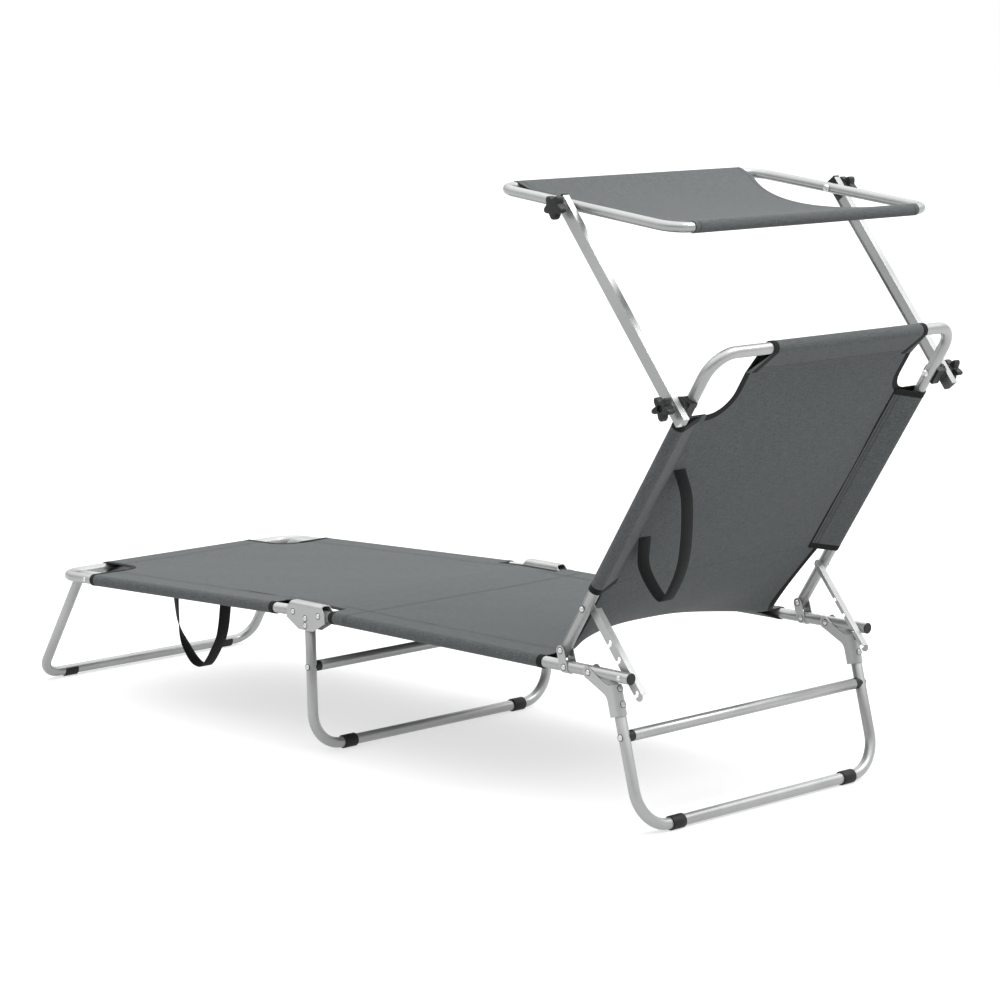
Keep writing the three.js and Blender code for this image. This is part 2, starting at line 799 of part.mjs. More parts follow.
// Folded plate: two flaps joined over the tube by a rounded ridge
function bracketSection() {
  const shoulder = bracketOuter * bracketShoulderShare;
  const wall = (half, top, radius) => [
    ...arcPoints(flat(half - radius, top - radius), radius, 0, Math.PI / 2, quarterSteps),
    ...arcPoints(flat(radius - half, top - radius), radius, Math.PI / 2, Math.PI, quarterSteps),
  ];
  const outer = wall(bracketOuter, bracketRidgeRise, shoulder);
  const inner = wall(bracketInner, bracketRidgeRise - plate, shoulder - plate);
  const low = -bracketDrop - cutOverrun;
  return new THREE.Shape([
    flat(bracketOuter, low), ...outer, flat(-bracketOuter, low),
    flat(-bracketInner, low), ...inner.reverse(), flat(bracketInner, low),
  ]);
}

function midBracket() {
  const folded = prismY(bracketSection(), -bracketHalfLength, bracketHalfLength);
  const side = prismX(bracketSideOutline(), -bracketOuter, bracketOuter);
  const shell = common(folded, side);
  const pivots = [-1, 1].map((end) => rivetX(-bracketOuter, bracketOuter, (end * pivotSpacing) / 2, 0));
  const heads = legRivetDrops.flatMap((drop) => [
    domeX(bracketOuter, 1, -midLegBack, -drop), domeX(-bracketOuter, -1, -midLegBack, -drop)]);
  return join(shell, ...pivots, ...heads).translate(railX, 0, 0);
}

const midLegFrame = new THREE.Group();
midLegFrame.rotation.x = midLegLean * degree;
midLeg.add(midLegFrame);
const midFloor = (floorAxis - railHeight - midLegBack * Math.sin(-midLegLean * degree))
  / Math.cos(midLegLean * degree);
const midCrossbar = (crossbarHeight - railHeight) / Math.cos(midLegLean * degree);

function midLegTube() {
  const leg = legTube(railSpacing, -midLegBack, midLegTopRise, midFloor, midLegBendRadius);
  const heads = [1, -1].map((side) => domeX(side * railX + side * tubeRadius * Math.cos(Math.PI / tubeSides),
    side, -midLegBack, midCrossbar));
  return join(leg, ...heads);
}

for (const side of [1, -1]) {
  const name = sideName(side);
  addPiece(midLeg, `mid_bracket_${name}`, onSide(side, midBracket()), silver());
  const saddle = onSide(side, crossbarSaddle(-midLegBack, midCrossbar));
  addPiece(midLegFrame, `mid_saddle_${name}`, saddle, blackPlastic());
  const pad = addPiece(midLegFrame, `mid_foot_pad_${name}`, footPad(side * midPadX, 0, 0), blackPlastic());
  pad.position.set(0, -midLegBack, midFloor);
  pad.rotation.x = -midLegLean * degree;
}
addPiece(midLegFrame, 'mid_leg_tube', midLegTube(), silver());
addPiece(midLegFrame, 'mid_crossbar', crossbarTube(-midLegBack, midCrossbar), silver());
const stripHalf = pivotSpacing / 2 - seam;
addPiece(midLeg, 'sling_mid', sheetBetween(-stripHalf, stripHalf, waistHalf), greyCloth());

// Foot section: its own +Y runs towards the foot, so its sides are swapped
const footFrame = new THREE.Group();
footFrame.name = 'foot_fold';
footFrame.position.set(0, -pivotSpacing / 2, 0);
footFrame.rotation.order = 'ZXY';
footFrame.rotation.set(-footSlope * degree, 0, Math.PI);
midLeg.add(footFrame);

function footFrameTube() {
  const frame = uFrame(tubeTail, footBarAt, footBendRadius);
  return cut(frame, crossHole(holeRadius, 0, 0), crossHole(holeRadius, footLegPivotAt, 0));
}

const footBite = { hemHalf: footBarSleeveHalf, barEnd: footBarSleeveHalf, radius: footBiteRadius };
addPiece(footFrame, 'foot_frame_tube', footFrameTube(), silver());
addPiece(footFrame, 'foot_sling', endSling({
  start: seam, sleeveStart: footSleeveStart, sleeveEnd: footSleeveEnd, barAt: footBarAt,
  right: footBite, left: footBite,
}), greyCloth());
addPiece(footFrame, 'foot_strap', strapAlong(hungRoute(footStrapRoute), -strapX, footStrapTwists), webbing());

// Foot leg, hinged inside the foot frame's rails
const footLeg = new THREE.Group();
footLeg.name = 'foot_leg_fold';
footLeg.position.set(0, footLegPivotAt, 0);
footFrame.add(footLeg);
const footLegX = railX - tubeDiameter - footLegGap;
const footPivotHeight = railHeight - footLegPivotAt * Math.sin(footSlope * degree);
const shinAngle = (90 - footLegLean - footSlope) * degree;
const kneeHeight = footPivotHeight - footLegKneeAt * Math.sin(footSlope * degree);
const shinLength = (kneeHeight - floorAxis) / Math.cos(footLegLean * degree);
const footFloor = vec(0, footLegKneeAt + shinLength * Math.cos(shinAngle), -shinLength * Math.sin(shinAngle));

function footLegTube() {
  const tubes = tubeAlong([
    vec(footLegX, -footLegTail, 0), vec(footLegX, footLegKneeAt, 0),
    vec(footLegX, footFloor.y, footFloor.z), vec(-footLegX, footFloor.y, footFloor.z),
    vec(-footLegX, footLegKneeAt, 0), vec(-footLegX, -footLegTail, 0),
  ], [0, footLegKneeRadius, footLegBendRadius, footLegBendRadius, footLegKneeRadius, 0], tubeDiameter);
  return cut(tubes, crossHole(holeRadius, 0, 0));
}

// Rivet with a spacer between the frame's rail and the leg
function footLegRivet() {
  const outerFace = railX + tubeRadius + fit;
  const innerFace = footLegX - tubeRadius - fit;
  const spacer = rodX(rivetHead / 2, footLegX + tubeRadius + fit, railX - tubeRadius - fit,
    footLegPivotAt, 0, rivetSides);
  return join(rivetX(innerFace, outerFace, footLegPivotAt, 0), spacer);
}

addPiece(footLeg, 'foot_leg_tube', footLegTube(), silver());
for (const side of [1, -1]) {
  const name = sideName(-side);
  addPiece(footFrame, `foot_leg_rivet_${name}`, onSide(side, footLegRivet()), bright());
  const pad = addPiece(footLeg, `foot_leg_pad_${name}`, footPad(side * footPadX, 0, 0), blackPlastic());
  pad.position.copy(footFloor);
  pad.rotation.x = footSlope * degree;
}

// Head leg, hinged under the seat rails by two wrapped brackets
const headLeg = new THREE.Group();
headLeg.name = 'head_leg_fold';
headLeg.position.set(0, headLegPivotAt, 0);
headLeg.rotation.x = headLegLean * degree;
seatFrame.add(headLeg);
const headFloor = (floorAxis - railHeight - headLegOffset * Math.sin(headLegLean * degree))
  / Math.cos(headLegLean * degree);
const headCrossbar = -headCrossbarDown;

function headLegTube() {
  const leg = legTube(railSpacing, headLegOffset, -headLegTopDrop, headFloor, headLegBendRadius);
  const heads = [1, -1].map((side) => domeX(side * railX + side * tubeRadius * Math.cos(Math.PI / tubeSides),
    side, headLegOffset, headCrossbar));
  return join(leg, ...heads);
}

// Side flap of the bracket: a lobe round the pivot that sweeps down into the leg
function headFlapOutline() {
  const edge = headLegOffset - bracketOuter;
  const lobe = headBracketLobe;
  const lobeArc = arcPoints(flat(0, 0), lobe, (90 - headLegLean) * degree, headLobeEnd * degree, arcSteps);
  const start = lobeArc[0];
  const heel = roundCorner(lobeArc[arcSteps], flat(edge, -headBracketBottom * headHeelShare),
    flat(edge, -headBracketBottom), headHeelRadius, bendSteps);
  const back = new THREE.QuadraticBezierCurve(flat(headLegOffset, -headBracketTop),
    flat(headLegOffset * headBackAcrossShare, -headBracketTop * headBackDownShare), start);
  return new THREE.Shape([
    ...lobeArc, ...heel,
    flat(edge, -headBracketBottom), flat(headLegOffset, -headBracketBottom),
    ...back.getPoints(bendSteps).slice(0, bendSteps),
  ]);
}

function headBracket() {
  const outline = headFlapOutline();
  const flaps = [1, -1].map((side) => (side > 0
    ? prismX(outline, railX + bracketInner, railX + bracketOuter)
    : prismX(outline, railX - bracketOuter, railX - bracketInner)));
  const wrap = new THREE.Shape([
    ...arcPoints(flat(railX, headLegOffset), bracketOuter, 0, Math.PI, arcSteps),
    ...arcPoints(flat(railX, headLegOffset), bracketInner, Math.PI, 0, arcSteps),
  ]);
  const shell = prismZ(wrap, -headBracketBottom, -headBracketTop);
  const heads = headBracketRivets.map((down) => domeY(headLegOffset + bracketOuter - fit, railX, -down));
  return join(...flaps, shell, rivetX(railX - bracketOuter, railX + bracketOuter, 0, 0), ...heads);
}

for (const side of [1, -1]) {
  const name = sideName(side);
  addPiece(headLeg, `head_bracket_${name}`, onSide(side, headBracket()), silver());
  const saddle = onSide(side, crossbarSaddle(headLegOffset, headCrossbar));
  addPiece(headLeg, `head_saddle_${name}`, saddle, blackPlastic());
  const pad = addPiece(headLeg, `head_foot_pad_${name}`, footPad(side * headPadX, 0, 0), blackPlastic());
  pad.position.set(0, headLegOffset, headFloor);
  pad.rotation.x = -headLegLean * degree;
}
addPiece(headLeg, 'head_leg_tube', headLegTube(), silver());
addPiece(headLeg, 'head_crossbar', crossbarTube(headLegOffset, headCrossbar), silver());

// Backrest: its own +Y runs up the tube and +Z is the side that the sitter leans on
const backrest = new THREE.Group();
backrest.name = 'recline';
backrest.position.set(0, linkRivetAt - backrestPivotBack, backrestPivotRise);
backrest.rotation.x = reclineAngle * degree;
seatFrame.add(backrest);

function backrestTube() {
  const frame = uFrame(backrestTail, topBarAt, backrestBendRadius);
  return cut(frame, crossHole(holeRadius, 0, 0), crossHole(holeRadius, strutPivotAt, 0),
    crossHole(boltShank / 2 + fit, clampAt, 0));
}

addPiece(backrest, 'backrest_tube', backrestTube(), silver());
addPiece(backrest, 'back_sling', endSling({
  start: backSleeveStart, sleeveStart: backSleeveStart, sleeveEnd: backSleeveEnd, barAt: topBarAt,
  right: { hemHalf: topRightHem, barEnd: topRightSleeveEnd, radius: topRightBiteRadius },
  left: { hemHalf: topLeftHem, barEnd: topLeftSleeveEnd, radius: topLeftBiteRadius },
}), greyCloth());
addPiece(backrest, 'back_strap', strapAlong(hungRoute(backStrapRoute), strapX, [0, 0]), webbing());

// Cloth that bridges the hinge between the seat sling and the back sling
function slingBridge() {
  const lean = reclineAngle * degree;
  const end = vec(0, backSleeveStart - 2 * seam, sheetMiddle).applyEuler(backrest.rotation).add(backrest.position);
  const bendAt = end.y - (end.z - sheetMiddle) / Math.tan(lean);
  const surface = (u, v) => {
    const x = waistHalf * (1 - 2 * u);
    const from = vec(x, seatEndAt(x) + bayGap, sheetMiddle);
    const bend = vec(x, bendAt, sheetMiddle);
    return new THREE.QuadraticBezierCurve3(from, bend, vec(x, end.y, end.z)).getPoint(v);
  };
  return clothSheet(surface, 2 * sheetSteps, sheetSteps, fabric);
}

addPiece(seatFrame, 'sling_bridge', slingBridge(), greyCloth());

// Notched strut: a web with keyholes on one edge and a stiffening flange on the other.
// One of its notches hooks on the rail's pin in the stored pose.
const strutPivot = vec(0, strutPivotAt, 0).applyEuler(backrest.rotation).add(backrest.position);
const strutHeading = Math.atan2(-strutPivot.z, strutPinAt - strutPivot.y);
const strutReach = Math.hypot(strutPivot.z, strutPinAt - strutPivot.y);
const firstNotchAt = strutReach - heldNotch * notchPitch;

function strutWebOutline(tip) {
  const half = strutWidth / 2;
  return new THREE.Shape([
    ...arcPoints(flat(0, 0), half, Math.PI / 2, (3 * Math.PI) / 2, arcSteps),
    ...arcPoints(flat(tip - half, 0), half, -Math.PI / 2, Math.PI / 2, arcSteps),
  ]);
}

function notchCutter(at) {
  const mouth = notchMouth / 2;
  const shift = notchLobeShift;
  const lobe = new THREE.Shape(circleLoop(notchDiameter / 2, tubeSides).map((p) => flat(p.x + at, p.y)));
  const slot = new THREE.Shape([
    flat(at + shift - mouth, 0), flat(at + shift - mouth, -strutWidth),
    flat(at + shift + mouth, -strutWidth), flat(at + shift + mouth, 0),
  ]);
  return [lobe, slot];
}

function strut() {
  const outer = railX - strutInset - fit;
  const inner = outer - strutThickness;
  const half = strutWidth / 2;
  const tip = firstNotchAt + notchPitch * (notchCount - 1) + strutTip;
  const web = prismX(strutWebOutline(tip), inner, outer);
  const flange = boxBetween(vec(outer - strutFlange, strutWidth * flangeStartShare, half - strutThickness),
    vec(outer, tip - half, half));
  const cutters = Array.from({ length: notchCount }, (_, i) => notchCutter(firstNotchAt + i * notchPitch))
    .flat().map((shape) => prismX(shape, inner - plate, outer + plate));
  const shank = rivetX(inner, railX + tubeRadius + fit, 0, 0);
  const washer = rodX(rivetHead / 2, outer - fit, railX - tubeRadius - fit, 0, 0, rivetSides);
  return join(cut(join(web, flange), ...cutters), shank, washer);
}

for (const side of [1, -1]) {
  const piece = addPiece(seatFrame, `strut_${sideName(side)}`, onSide(side, strut()), silver());
  piece.position.copy(strutPivot);
  piece.rotation.x = strutHeading;
}

// Clamp block that saddles the backrest tube, with the lower half of the toothed joint
function toothedLoop(radius) {
  return Array.from({ length: discTeeth * 2 }, (_, i) => {
    const angle = (i * Math.PI) / discTeeth;
    const reach = i % 2 ? radius : radius - discToothDepth;
    return flat(reach * Math.cos(angle), reach * Math.sin(angle));
  });
}

const blockFace = railX + clampBlockReach;
const discFace = blockFace + discThickness;

function clamp() {
  const half = clampBlock / 2;
  const bevel = clampBlockChamfer;
  const outline = new THREE.Shape([
    flat(-half, -half), flat(half, -half), flat(half, half - bevel), flat(half - bevel, half),
    flat(bevel - half, half), flat(-half, half - bevel),
  ]);
  const block = prismX(outline, railX + clampWrap, blockFace).translate(0, clampAt, 0);
  const disc = prismX(new THREE.Shape(toothedLoop(discDiameter / 2)), blockFace - fit, discFace);
  const tube = prismY(new THREE.Shape(circleLoop(tubeRadius + fit, padSides)),
    clampAt - clampBlock, clampAt + clampBlock).translate(railX, 0, 0);
  const bore = rodX(boltShank / 2 + fit, railX, railX + cutOverrun, clampAt, 0, tubeSides);
  return cut(join(block, disc.translate(0, clampAt, 0)), tube, bore);
}

// Bolt along X: dome on the inside, an optional spacer, and a nut outside the arm
function crossBolt(headFace, y, spacer) {
  const shank = boltShank / 2;
  const head = boltHead / 2;
  const end = armFace + fit + nutThickness + knobHubLength + knobThickness / 2;
  const bolt = turnedX([
    [0, headFace - boltDome], [head * boltCrownShare, headFace - boltDome],
    [head, headFace - boltDome * boltShoulderShare],
    [head, headFace], [shank, headFace], [shank, end], [0, end],
  ], y, 0, tubeSides);
  const nut = rodX(nutWidth / 2, armFace + fit, armFace + fit + nutThickness, y, 0, nutSides);
  return spacer ? join(bolt, nut, spacer) : join(bolt, nut);
}

for (const side of [1, -1]) {
  const name = sideName(side);
  addPiece(backrest, `clamp_${name}`, onSide(side, clamp()), blackPlastic());
  const bolt = crossBolt(railX - tubeRadius - fit, clampAt, null);
  addPiece(backrest, `clamp_bolt_${name}`, onSide(side, bolt), bright());
}

// Canopy arms: channels that stand on the clamps
const arms = new THREE.Group();
arms.name = 'arm_swing';
arms.position.set(0, clampAt, 0);
arms.rotation.x = (armAngle - reclineAngle) * degree;
backrest.add(arms);

function canopyArm() {
  const half = armWidth / 2;
  const [open, web] = [armFace - armDepth, armFace];
  const section = new THREE.Shape([
    flat(open, -half), flat(web, -half), flat(web, half), flat(open, half),
    flat(open, half - plate), flat(web - plate, half - plate),
    flat(web - plate, plate - half), flat(open, plate - half),
  ]);
  const channel = prismY(section, -armTail, armLength + armHead);
  return cut(channel, ...[0, armLength].map((y) => rodX(boltShank / 2 + fit, web - armDepth,
    web + cutOverrun, y, 0, tubeSides)));
}

function armCap() {
  const half = armWidth / 2;
  const end = armLength + armHead + fit;
  const plateBox = boxBetween(vec(armFace - armDepth, end, -half), vec(armFace, end + capThickness, half));
  const inset = plate + fit;
  const tongue = boxBetween(vec(armFace - armDepth, end - capTongue, inset - half),
    vec(armFace - inset, end + fit, half - inset));
  const clearance = nutWidth / 2 + fit + fit;
  return cut(join(plateBox, tongue), rodX(clearance, armFace - armDepth - cutOverrun, armFace,
    armLength, 0, tubeSides));
}

// Upper half of the toothed joint, with a boss that sits inside the arm's channel
function clampDisc() {
  const half = armWidth / 2;
  const disc = prismX(new THREE.Shape(toothedLoop(discDiameter / 2)), discFace + fit, armFace - armDepth - fit);
  const boss = rodX(half - plate - fit, armFace - armDepth - fit - fit,
    armFace - plate - fit, 0, 0, tubeSides);
  const bore = rodX(boltShank / 2 + fit, blockFace, armFace, 0, 0, tubeSides);
  return cut(join(disc, boss), bore);
}

for (const side of [1, -1]) {
  const name = sideName(side);
  addPiece(arms, `canopy_arm_${name}`, onSide(side, canopyArm()), bright());
  addPiece(arms, `arm_cap_${name}`, onSide(side, armCap()), blackPlastic());
  addPiece(arms, `clamp_disc_${name}`, onSide(side, clampDisc()), blackPlastic());
}

// Canopy: a closed loop of tube with cloth between its two long bars
const canopy = new THREE.Group();
canopy.name = 'canopy_tilt';
canopy.position.set(0, armLength, 0);
canopy.rotation.x = (canopySlope - armAngle) * degree;
arms.add(canopy);
const canopyX = canopySpacing / 2;
const canopyRadius = canopyTubeDiameter / 2;

function canopyFrameTube() {
  const r = canopyBendRadius;
  const loop = tubeAlong([
    vec(canopyX, canopyHeadBarAt, 0), vec(-canopyX, canopyHeadBarAt, 0),
    vec(-canopyX, -canopyFootBarAt, 0), vec(canopyX, -canopyFootBarAt, 0),
  ], [r, r, r, r], canopyTubeDiameter, true);
  const hole = rodX(boltShank / 2 + fit, -canopyX - cutOverrun, canopyX + cutOverrun, 0, 0, tubeSides);
  return cut(loop, hole);
}

// Cloth pocket round one bar; the sheet leaves towards the other bar
function canopyPocketSolid(barAt, direction) {
  const { outer, hem, inner } = pocketOutline(canopyRadius + fit, canopyFabric, canopyPocket);
  const place = (point) => flat(barAt + direction * point.x, point.y);
  const sewnOn = flat(hem.x, canopyRadius + fit + canopyFabric);
  const shape = outlineShape([...outer, hem, sewnOn].map(place), [inner.map(place)]);
  return prismX(shape, -canopySleeveHalf, canopySleeveHalf);
}

function canopyFabricSolid() {
  const low = -canopyFootBarAt + canopyPocket - fit;
  const high = canopyHeadBarAt - canopyPocket + fit;
  const middle = canopyRadius + fit + canopyFabric / 2;
  const surface = (u, v) => {
    const bow = 4 * v * (1 - v);
    const half = canopySleeveHalf - canopyEdgeCurve * bow;
    const across = 2 * u - 1;
    return vec(across * half, low + (high - low) * v, middle - canopySag * bow);
  };
  const sheet = clothSheet(surface, sheetSteps, sheetSteps, canopyFabric);
  return join(canopyPocketSolid(canopyHeadBarAt, 1), canopyPocketSolid(-canopyFootBarAt, -1), sheet);
}

addPiece(canopy, 'canopy_frame_tube', canopyFrameTube(), bright());
addPiece(canopy, 'canopy_fabric', canopyFabricSolid(), greyCloth());
for (const side of [1, -1]) {
  const inner = canopyX + canopyRadius + fit;
  const spacer = rodX(nutWidth / 2, inner, armFace - plate - fit, 0, 0, tubeSides);
  const bolt = crossBolt(canopyX - canopyRadius - fit, 0, spacer);
  addPiece(canopy, `canopy_bolt_${sideName(side)}`, onSide(side, bolt), bright());
}

// Star knobs on the four bolts
function starLoop() {
  const count = knobLobes * starPointsPerLobe;
  return Array.from({ length: count }, (_, i) => {
    const angle = (i * 2 * Math.PI) / count;
    const reach = knobRadius + knobLobeDepth * Math.cos(knobLobes * angle);
    return flat(reach * Math.cos(angle), reach * Math.sin(angle));
  });
}

function knob() {
  const hubStart = armFace + fit + nutThickness + fit;
  const starStart = hubStart + knobHubLength;
  const end = starStart + knobThickness;
  const star = prismX(new THREE.Shape(starLoop()), starStart, end);
  const hub = rodX(knobHub / 2, hubStart, starStart + fit, 0, 0, tubeSides);
  const bore = rodX(boltShank / 2 + fit, hubStart - fit, starStart + knobThickness / 2 + fit, 0, 0, tubeSides);
  const recess = rodX(knobRecess / 2, end - knobRecessDepth, end + fit, 0, 0, tubeSides);
  return cut(join(star, hub), bore, recess);
}

for (const side of [1, -1]) {
  const name = sideName(side);
  addPiece(arms, `clamp_knob_${name}`, onSide(side, knob()), blackPlastic());
  const upper = addPiece(arms, `canopy_knob_${name}`, onSide(side, knob()), blackPlastic());
  upper.position.set(0, armLength, 0);
}

// The origin goes under the middle of the overall box
const box = new THREE.Box3().setFromObject(lounger);
lounger.position.y = -(box.min.y + box.max.y) / 2;

export default lounger;
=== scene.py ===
# %% [markdown]
# # Sun lounger with canopy: looks
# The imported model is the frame. Every visible piece is rebuilt around it in mesh code, in metres: smooth
# tubes, bevelled plates, sewn cloth and webbing. Each piece rides on the body that carries it.

# %% Frame
from math import acos, atan, atan2, cos, pi, radians, sin, sqrt, tan

import bmesh
import bpy
from mathutils import Matrix, Vector
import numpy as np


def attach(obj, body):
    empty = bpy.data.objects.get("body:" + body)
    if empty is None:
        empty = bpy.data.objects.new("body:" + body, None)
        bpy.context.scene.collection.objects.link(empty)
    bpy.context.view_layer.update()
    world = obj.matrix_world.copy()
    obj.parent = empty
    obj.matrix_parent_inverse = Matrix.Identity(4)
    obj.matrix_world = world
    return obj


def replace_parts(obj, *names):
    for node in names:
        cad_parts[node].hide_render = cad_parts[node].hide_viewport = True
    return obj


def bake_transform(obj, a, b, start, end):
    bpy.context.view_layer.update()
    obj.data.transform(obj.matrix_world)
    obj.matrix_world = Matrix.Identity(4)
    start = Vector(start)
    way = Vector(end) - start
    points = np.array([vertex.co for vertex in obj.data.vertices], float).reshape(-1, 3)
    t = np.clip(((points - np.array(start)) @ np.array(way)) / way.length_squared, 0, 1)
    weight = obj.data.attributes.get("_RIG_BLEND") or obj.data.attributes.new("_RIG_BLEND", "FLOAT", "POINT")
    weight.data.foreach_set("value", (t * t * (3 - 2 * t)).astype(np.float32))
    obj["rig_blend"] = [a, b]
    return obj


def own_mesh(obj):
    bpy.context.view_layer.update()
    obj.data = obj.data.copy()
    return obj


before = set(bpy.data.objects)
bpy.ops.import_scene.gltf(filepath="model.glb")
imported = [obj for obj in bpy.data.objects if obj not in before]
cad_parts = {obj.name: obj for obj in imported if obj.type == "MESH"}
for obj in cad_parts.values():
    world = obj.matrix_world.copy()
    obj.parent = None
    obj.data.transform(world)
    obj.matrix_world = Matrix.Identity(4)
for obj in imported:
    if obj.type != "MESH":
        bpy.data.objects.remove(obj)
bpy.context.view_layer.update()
scene = bpy.context.scene

# %% [markdown]
# ## Sizes and places
# These repeat the named sizes of the model, in metres and degrees, and its sections' places at rest.

# %% Sizes
TUBE = 0.009            # tube radius
CANOPY_TUBE = 0.008
WALL = 0.0012
RAIL = 0.273            # half the spacing of the rails
RAIL_END = 0.7152
AXLE = 0.241            # height of the rails' axes
CLOTH = 0.0012
GAP = 0.0003
POCKET = 0.051          # from a tube's axis to its pocket's hem
WAIST = 0.252           # half width of the cloth at the folds
SHEET = 0.00975         # middle of the cloth above the tube axes
SLEEVE = TUBE + GAP + CLOTH / 2
PIVOTS = 0.065
BACK_PIVOT = (0.5747, 0.025)
CLAMP_AT, ARM_LENGTH = 0.478, 0.3568
CANOPY_HEAD, CANOPY_FOOT, CANOPY_SIDE = 0.2065, -0.166, 0.288
FOOT_LEG_AT, HEAD_LEG_AT = 0.5934, 0.6347
LEG_HALF = 0.25         # half the spacing of the foot leg's tubes
STRAP_X = 0.208
ARM_FACE = 0.312
PLATE_OUT = TUBE + GAP + 0.0015   # outer face of a plate beside a tube
BAY_DEPTH, BAY_HALF = 0.170, 0.875 * WAIST
SEAT_END = 0.531
SHIFT = 0.050388        # from the middle fold to the middle of the overall box
PAD_RADIUS = 0.0115 * cos(pi / 16)
PAD_HALF = 0.014
MID_LEAN, HEAD_LEAN, FOOT_SLOPE, FOOT_LEAN = (radians(a) for a in (1.2, 14.45, 2.05, 33.2))
RECLINE, ARM_TURN, CANOPY_TURN = (radians(a) for a in (56.8, 71.3, -135.0))


def turn(angle):
    return Matrix.Rotation(angle, 4, "X")


def move(x, y, z):
    return Matrix.Translation((x, y, z))


SEAT = move(0, PIVOTS / 2 - SHIFT, AXLE)
MID = move(0, -SHIFT, AXLE)
MID_LEG = MID @ turn(MID_LEAN)
FOOT = move(0, -PIVOTS / 2 - SHIFT, AXLE) @ Matrix.Rotation(pi, 4, "Z") @ turn(-FOOT_SLOPE)
FOOT_LEG = FOOT @ move(0, FOOT_LEG_AT, 0)
HEAD_LEG = SEAT @ move(0, HEAD_LEG_AT, 0) @ turn(HEAD_LEAN)
BACK = SEAT @ move(0, *BACK_PIVOT) @ turn(RECLINE)
ARMS = BACK @ move(0, CLAMP_AT, 0) @ turn(ARM_TURN)
ARM_TOP = ARMS @ move(0, ARM_LENGTH, 0)
CANOPY = ARM_TOP @ turn(CANOPY_TURN)
print("canopy pivot", [round(v, 4) for v in CANOPY.translation])

# %% [markdown]
# ## Node helpers
# Shared effects are node groups, built once: weave, stitches, grain and rubbed edges.


# %% Node helpers
class Graph:
    def __init__(self, tree):
        self.tree = tree

    def add(self, kind, inputs=(), **settings):
        node = self.tree.nodes.new(kind)
        for key, value in settings.items():
            setattr(node, key, value)
        self.fill(node.inputs, inputs)
        return node

    def fill(self, sockets, values):
        for key, value in dict(values).items():
            self.put(sockets[key], value)

    def put(self, socket, value):
        if isinstance(value, bpy.types.NodeSocket):
            self.tree.links.new(value, socket)
        else:
            socket.default_value = value

    def math(self, operation, *values):
        return self.add("ShaderNodeMath", enumerate(values), operation=operation).outputs[0]

    def plane(self, x, y):
        return self.add("ShaderNodeCombineXYZ", {"X": x, "Y": y}).outputs[0]

    def ramp(self, value, low, high, to_low=0.0, to_high=1.0):
        inputs = {"Value": value, "From Min": low, "From Max": high, "To Min": to_low, "To Max": to_high}
        return self.add("ShaderNodeMapRange", inputs, interpolation_type="SMOOTHSTEP").outputs[0]

    def mix(self, share, first, second):
        return self.add("ShaderNodeMix", {0: share, 6: first, 7: second}, data_type="RGBA").outputs[2]

    def noise(self, vector, scale, detail=2.0, roughness=0.5):
        inputs = {"Vector": vector, "Scale": scale, "Detail": detail, "Roughness": roughness}
        return self.add("ShaderNodeTexNoise", inputs).outputs["Fac"]

    def use(self, group, inputs=()):
        return self.add("ShaderNodeGroup", inputs, node_tree=group).outputs


def new_group(name, inputs, outputs):
    """Empty node group. Its sockets are numbers, apart from the place."""
    tree = bpy.data.node_groups.new(name, "ShaderNodeTree")
    for titles, way in ((inputs, "INPUT"), (outputs, "OUTPUT")):
        for title in titles:
            kind = "NodeSocketVector" if title == "Place" else "NodeSocketFloat"
            tree.interface.new_socket(title, in_out=way, socket_type=kind)
    graph = Graph(tree)
    return tree, graph, graph.add("NodeGroupInput").outputs, graph.add("NodeGroupOutput").inputs


def weave_group():
    """Plain weave: threads along both cloth directions, over and under each other."""
    tree, g, given, out = new_group("weave", ["Along", "Across", "Pitch"], ["Height", "Slub"])
    turns = g.math("DIVIDE", 2 * pi, given["Pitch"])
    along, across = given["Along"], given["Across"]
    one, two = (g.math("SINE", g.math("MULTIPLY", way, turns)) for way in (along, across))
    g.put(out["Height"], g.math("MULTIPLY_ADD", g.math("MULTIPLY", one, two), 0.5, 0.5))
    stretched = g.plane(g.math("MULTIPLY", along, 0.06), across)
    crossed = g.plane(along, g.math("MULTIPLY", across, 0.06))
    slub = g.math("ADD", g.noise(stretched, 900.0, 1.0), g.noise(crossed, 900.0, 1.0))
    fleck = g.math("MULTIPLY", g.noise(g.plane(along, across), 430.0, 2.0, 0.7), 2.0)
    g.put(out["Slub"], g.math("MULTIPLY", g.math("ADD", slub, fleck), 0.25))
    return tree


def stitch_group():
    """A row of stitches on the line where Across equals Line."""
    tree, g, given, out = new_group("stitches", ["Along", "Across", "Line"], ["Mask", "Pucker"])
    aside = g.math("ABSOLUTE", g.math("SUBTRACT", given["Across"], given["Line"]))
    beat = g.math("FRACT", g.math("MULTIPLY", given["Along"], 1 / 0.0042))
    thread = g.math("MULTIPLY", g.ramp(beat, 0.1, 0.2), g.ramp(beat, 0.8, 0.9, 1.0, 0.0))
    g.put(out["Mask"], g.math("MULTIPLY", thread, g.ramp(aside, 0.0003, 0.0006, 1.0, 0.0)))
    g.put(out["Pucker"], g.ramp(aside, 0.0, 0.0035, 0.0, 1.0))
    return tree


def grain_group():
    """Fine moulded or sprayed grain, with slow patches of a slightly different finish."""
    tree, g, given, out = new_group("grain", ["Place", "Scale"], ["Height", "Patch"])
    g.put(out["Height"], g.noise(given["Place"], given["Scale"], 3.0, 0.6))
    g.put(out["Patch"], g.noise(given["Place"], 9.0, 4.0, 0.55))
    return tree


